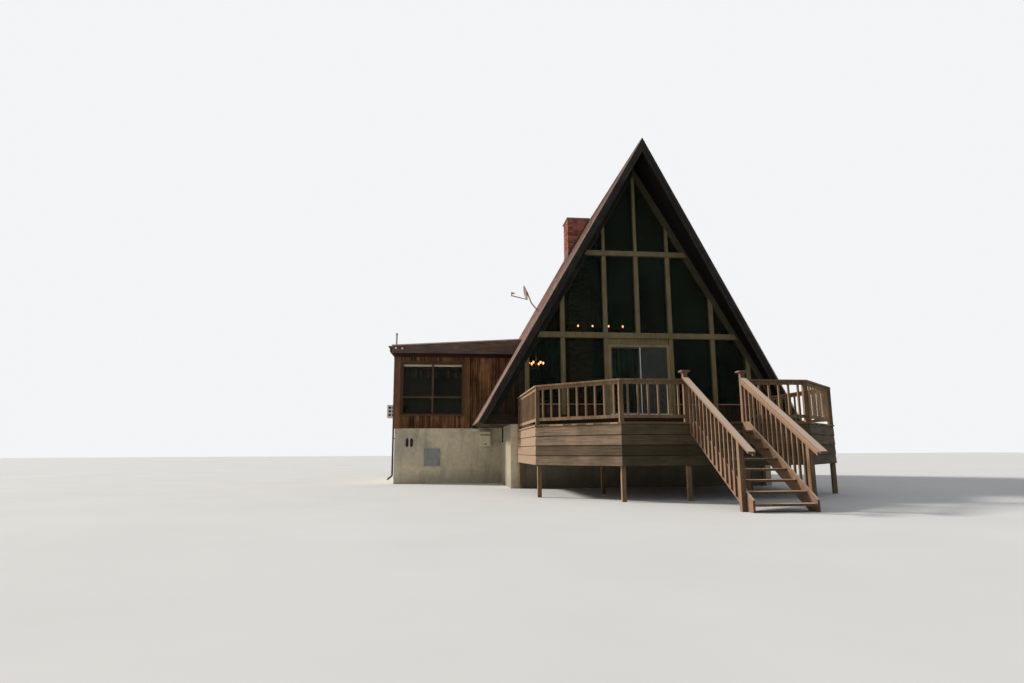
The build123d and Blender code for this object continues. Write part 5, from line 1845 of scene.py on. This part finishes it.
class Studio:
    """Camera, lamps, world and floor."""

    floor_half = 120.0

    def build(self, palette: Palette, view: View) -> None:
        """Sets the stage.

        Args:
            palette: The finishes.
            view: The photograph's camera.
        """
        self.floor(palette[Extra.STAGE])
        self.camera(view)
        self.lamps()
        self.world()
        bpy.context.scene.view_settings.view_transform = "Standard"

    def floor(self, material: bpy.types.Material) -> None:
        """Lays the studio floor.

        Args:
            material: Its material.
        """
        mesh = bpy.data.meshes.new("studio_floor")
        h = self.floor_half
        mesh.from_pydata([(-h, -h, 0), (h, -h, 0), (h, h, 0), (-h, h, 0)], [], [(0, 1, 2, 3)])
        mesh.materials.append(material)
        made = bpy.data.objects.new("studio_floor", mesh)
        bpy.context.scene.collection.objects.link(made)

    def camera(self, view: View) -> None:
        """Places the camera at the photograph's viewpoint.

        Args:
            view: The photograph's camera.
        """
        yaw, pitch, roll = (math.radians(a) for a in (view.yaw, view.pitch, view.roll))
        ahead = Vector((math.sin(yaw) * math.cos(pitch), math.cos(yaw) * math.cos(pitch), math.sin(pitch)))
        level = Vector((math.cos(yaw), -math.sin(yaw), 0))
        up = level.cross(ahead)
        right = level * math.cos(roll) + up * math.sin(roll)
        above = up * math.cos(roll) - level * math.sin(roll)
        data = bpy.data.cameras.new("photo_camera")
        data.sensor_width = view.sensor_mm
        data.lens = view.focal_px / view.width_px * view.sensor_mm
        data.clip_end = 500.0
        made = bpy.data.objects.new("photo_camera", data)
        turn = Matrix((right, above, -ahead)).transposed().to_4x4()
        made.matrix_world = Matrix.Translation(view.place) @ turn
        bpy.context.scene.collection.objects.link(made)
        bpy.context.scene.camera = made

    def lamps(self) -> None:
        """Hangs a soft key light on the left, a little behind the gable."""
        data = bpy.data.lights.new("key", "SUN")
        data.energy = 3.6
        data.color = (1.0, 0.95, 0.87)
        data.angle = math.radians(9.0)
        made = bpy.data.objects.new("key", data)
        toward = Vector((-0.78, 0.38, 0.50))
        made.rotation_euler = toward.to_track_quat("Z", "Y").to_euler()
        bpy.context.scene.collection.objects.link(made)

    def world(self) -> None:
        """Lights all sides softly and shows a pale background."""
        world = bpy.data.worlds.new("studio")
        bpy.context.scene.world = world
        world.use_nodes = True
        nodes, links = world.node_tree.nodes, world.node_tree.links
        back = nodes["Background"]
        back.inputs[0].default_value = (0.93, 0.96, 1.0, 1.0)
        back.inputs[1].default_value = 0.42
        seen = nodes.new("ShaderNodeBackground")
        seen.inputs[0].default_value = (0.90, 0.91, 0.92, 1.0)
        path = nodes.new("ShaderNodeLightPath")
        either = nodes.new("ShaderNodeMath")
        either.operation = "MAXIMUM"
        links.new(path.outputs["Is Camera Ray"], either.inputs[0])
        links.new(path.outputs["Is Transmission Ray"], either.inputs[1])
        both = nodes.new("ShaderNodeMath")
        both.operation = "MAXIMUM"
        links.new(either.outputs[0], both.inputs[0])
        links.new(path.outputs["Is Glossy Ray"], both.inputs[1])
        mix = nodes.new("ShaderNodeMixShader")
        links.new(both.outputs[0], mix.inputs[0])
        links.new(back.outputs[0], mix.inputs[1])
        links.new(seen.outputs[0], mix.inputs[2])
        links.new(mix.outputs[0], nodes["World Output"].inputs[0])


OWN_FINISH: dict[str, Enum] = {
    # Both rafters take darker copies of the gable paint: painted shade.
    "gable_rafter_left": Extra.SHADED,
    "gable_rafter_right": Extra.DARK_OLIVE,
    # The side panels take a near-black finish: painted shade.
    "gable_panels": Extra.PANEL,
    # The base board takes the near-black frieze finish: painted shade.
    "gable_base_board": Extra.FRIEZE,
    "newel_posts": Extra.STAIR,
    "stair_treads": Extra.STAIR,
    "stair_stringers": Extra.STAIR,
    "stair_railings": Extra.STAIR,
    "door_frame": Extra.DOOR_WOOD,
    "window_glass": Extra.WING_GLASS,
    "corner_pole": Extra.MAST,
}


def dress_nodes(frame: dict, palette: Palette) -> None:
    """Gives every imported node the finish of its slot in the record.

    Args:
        palette: The finishes.
    """
    for part in frame["record"]["subparts"]:
        node = frame["nodes"][part["node"]]
        material = palette[OWN_FINISH.get(part["node"], Slot(part["material_slot"]))]
        if node.material_slots:
            for place in node.material_slots:
                place.material = material
        else:
            node.data.materials.append(material)


def main() -> None:
    """Builds the dressed cabin and its studio."""
    logging.basicConfig(level=logging.INFO, format="%(name)s %(message)s")
    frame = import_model()
    site, palette = Site.read(), Palette()
    dress_nodes(frame, palette)
    for trade in (Roofer, Mason, Carpenter, Glazier, Fitter):
        trade(site, palette).build()
    Studio().build(palette, View())


if __name__ == "__main__":
    main()
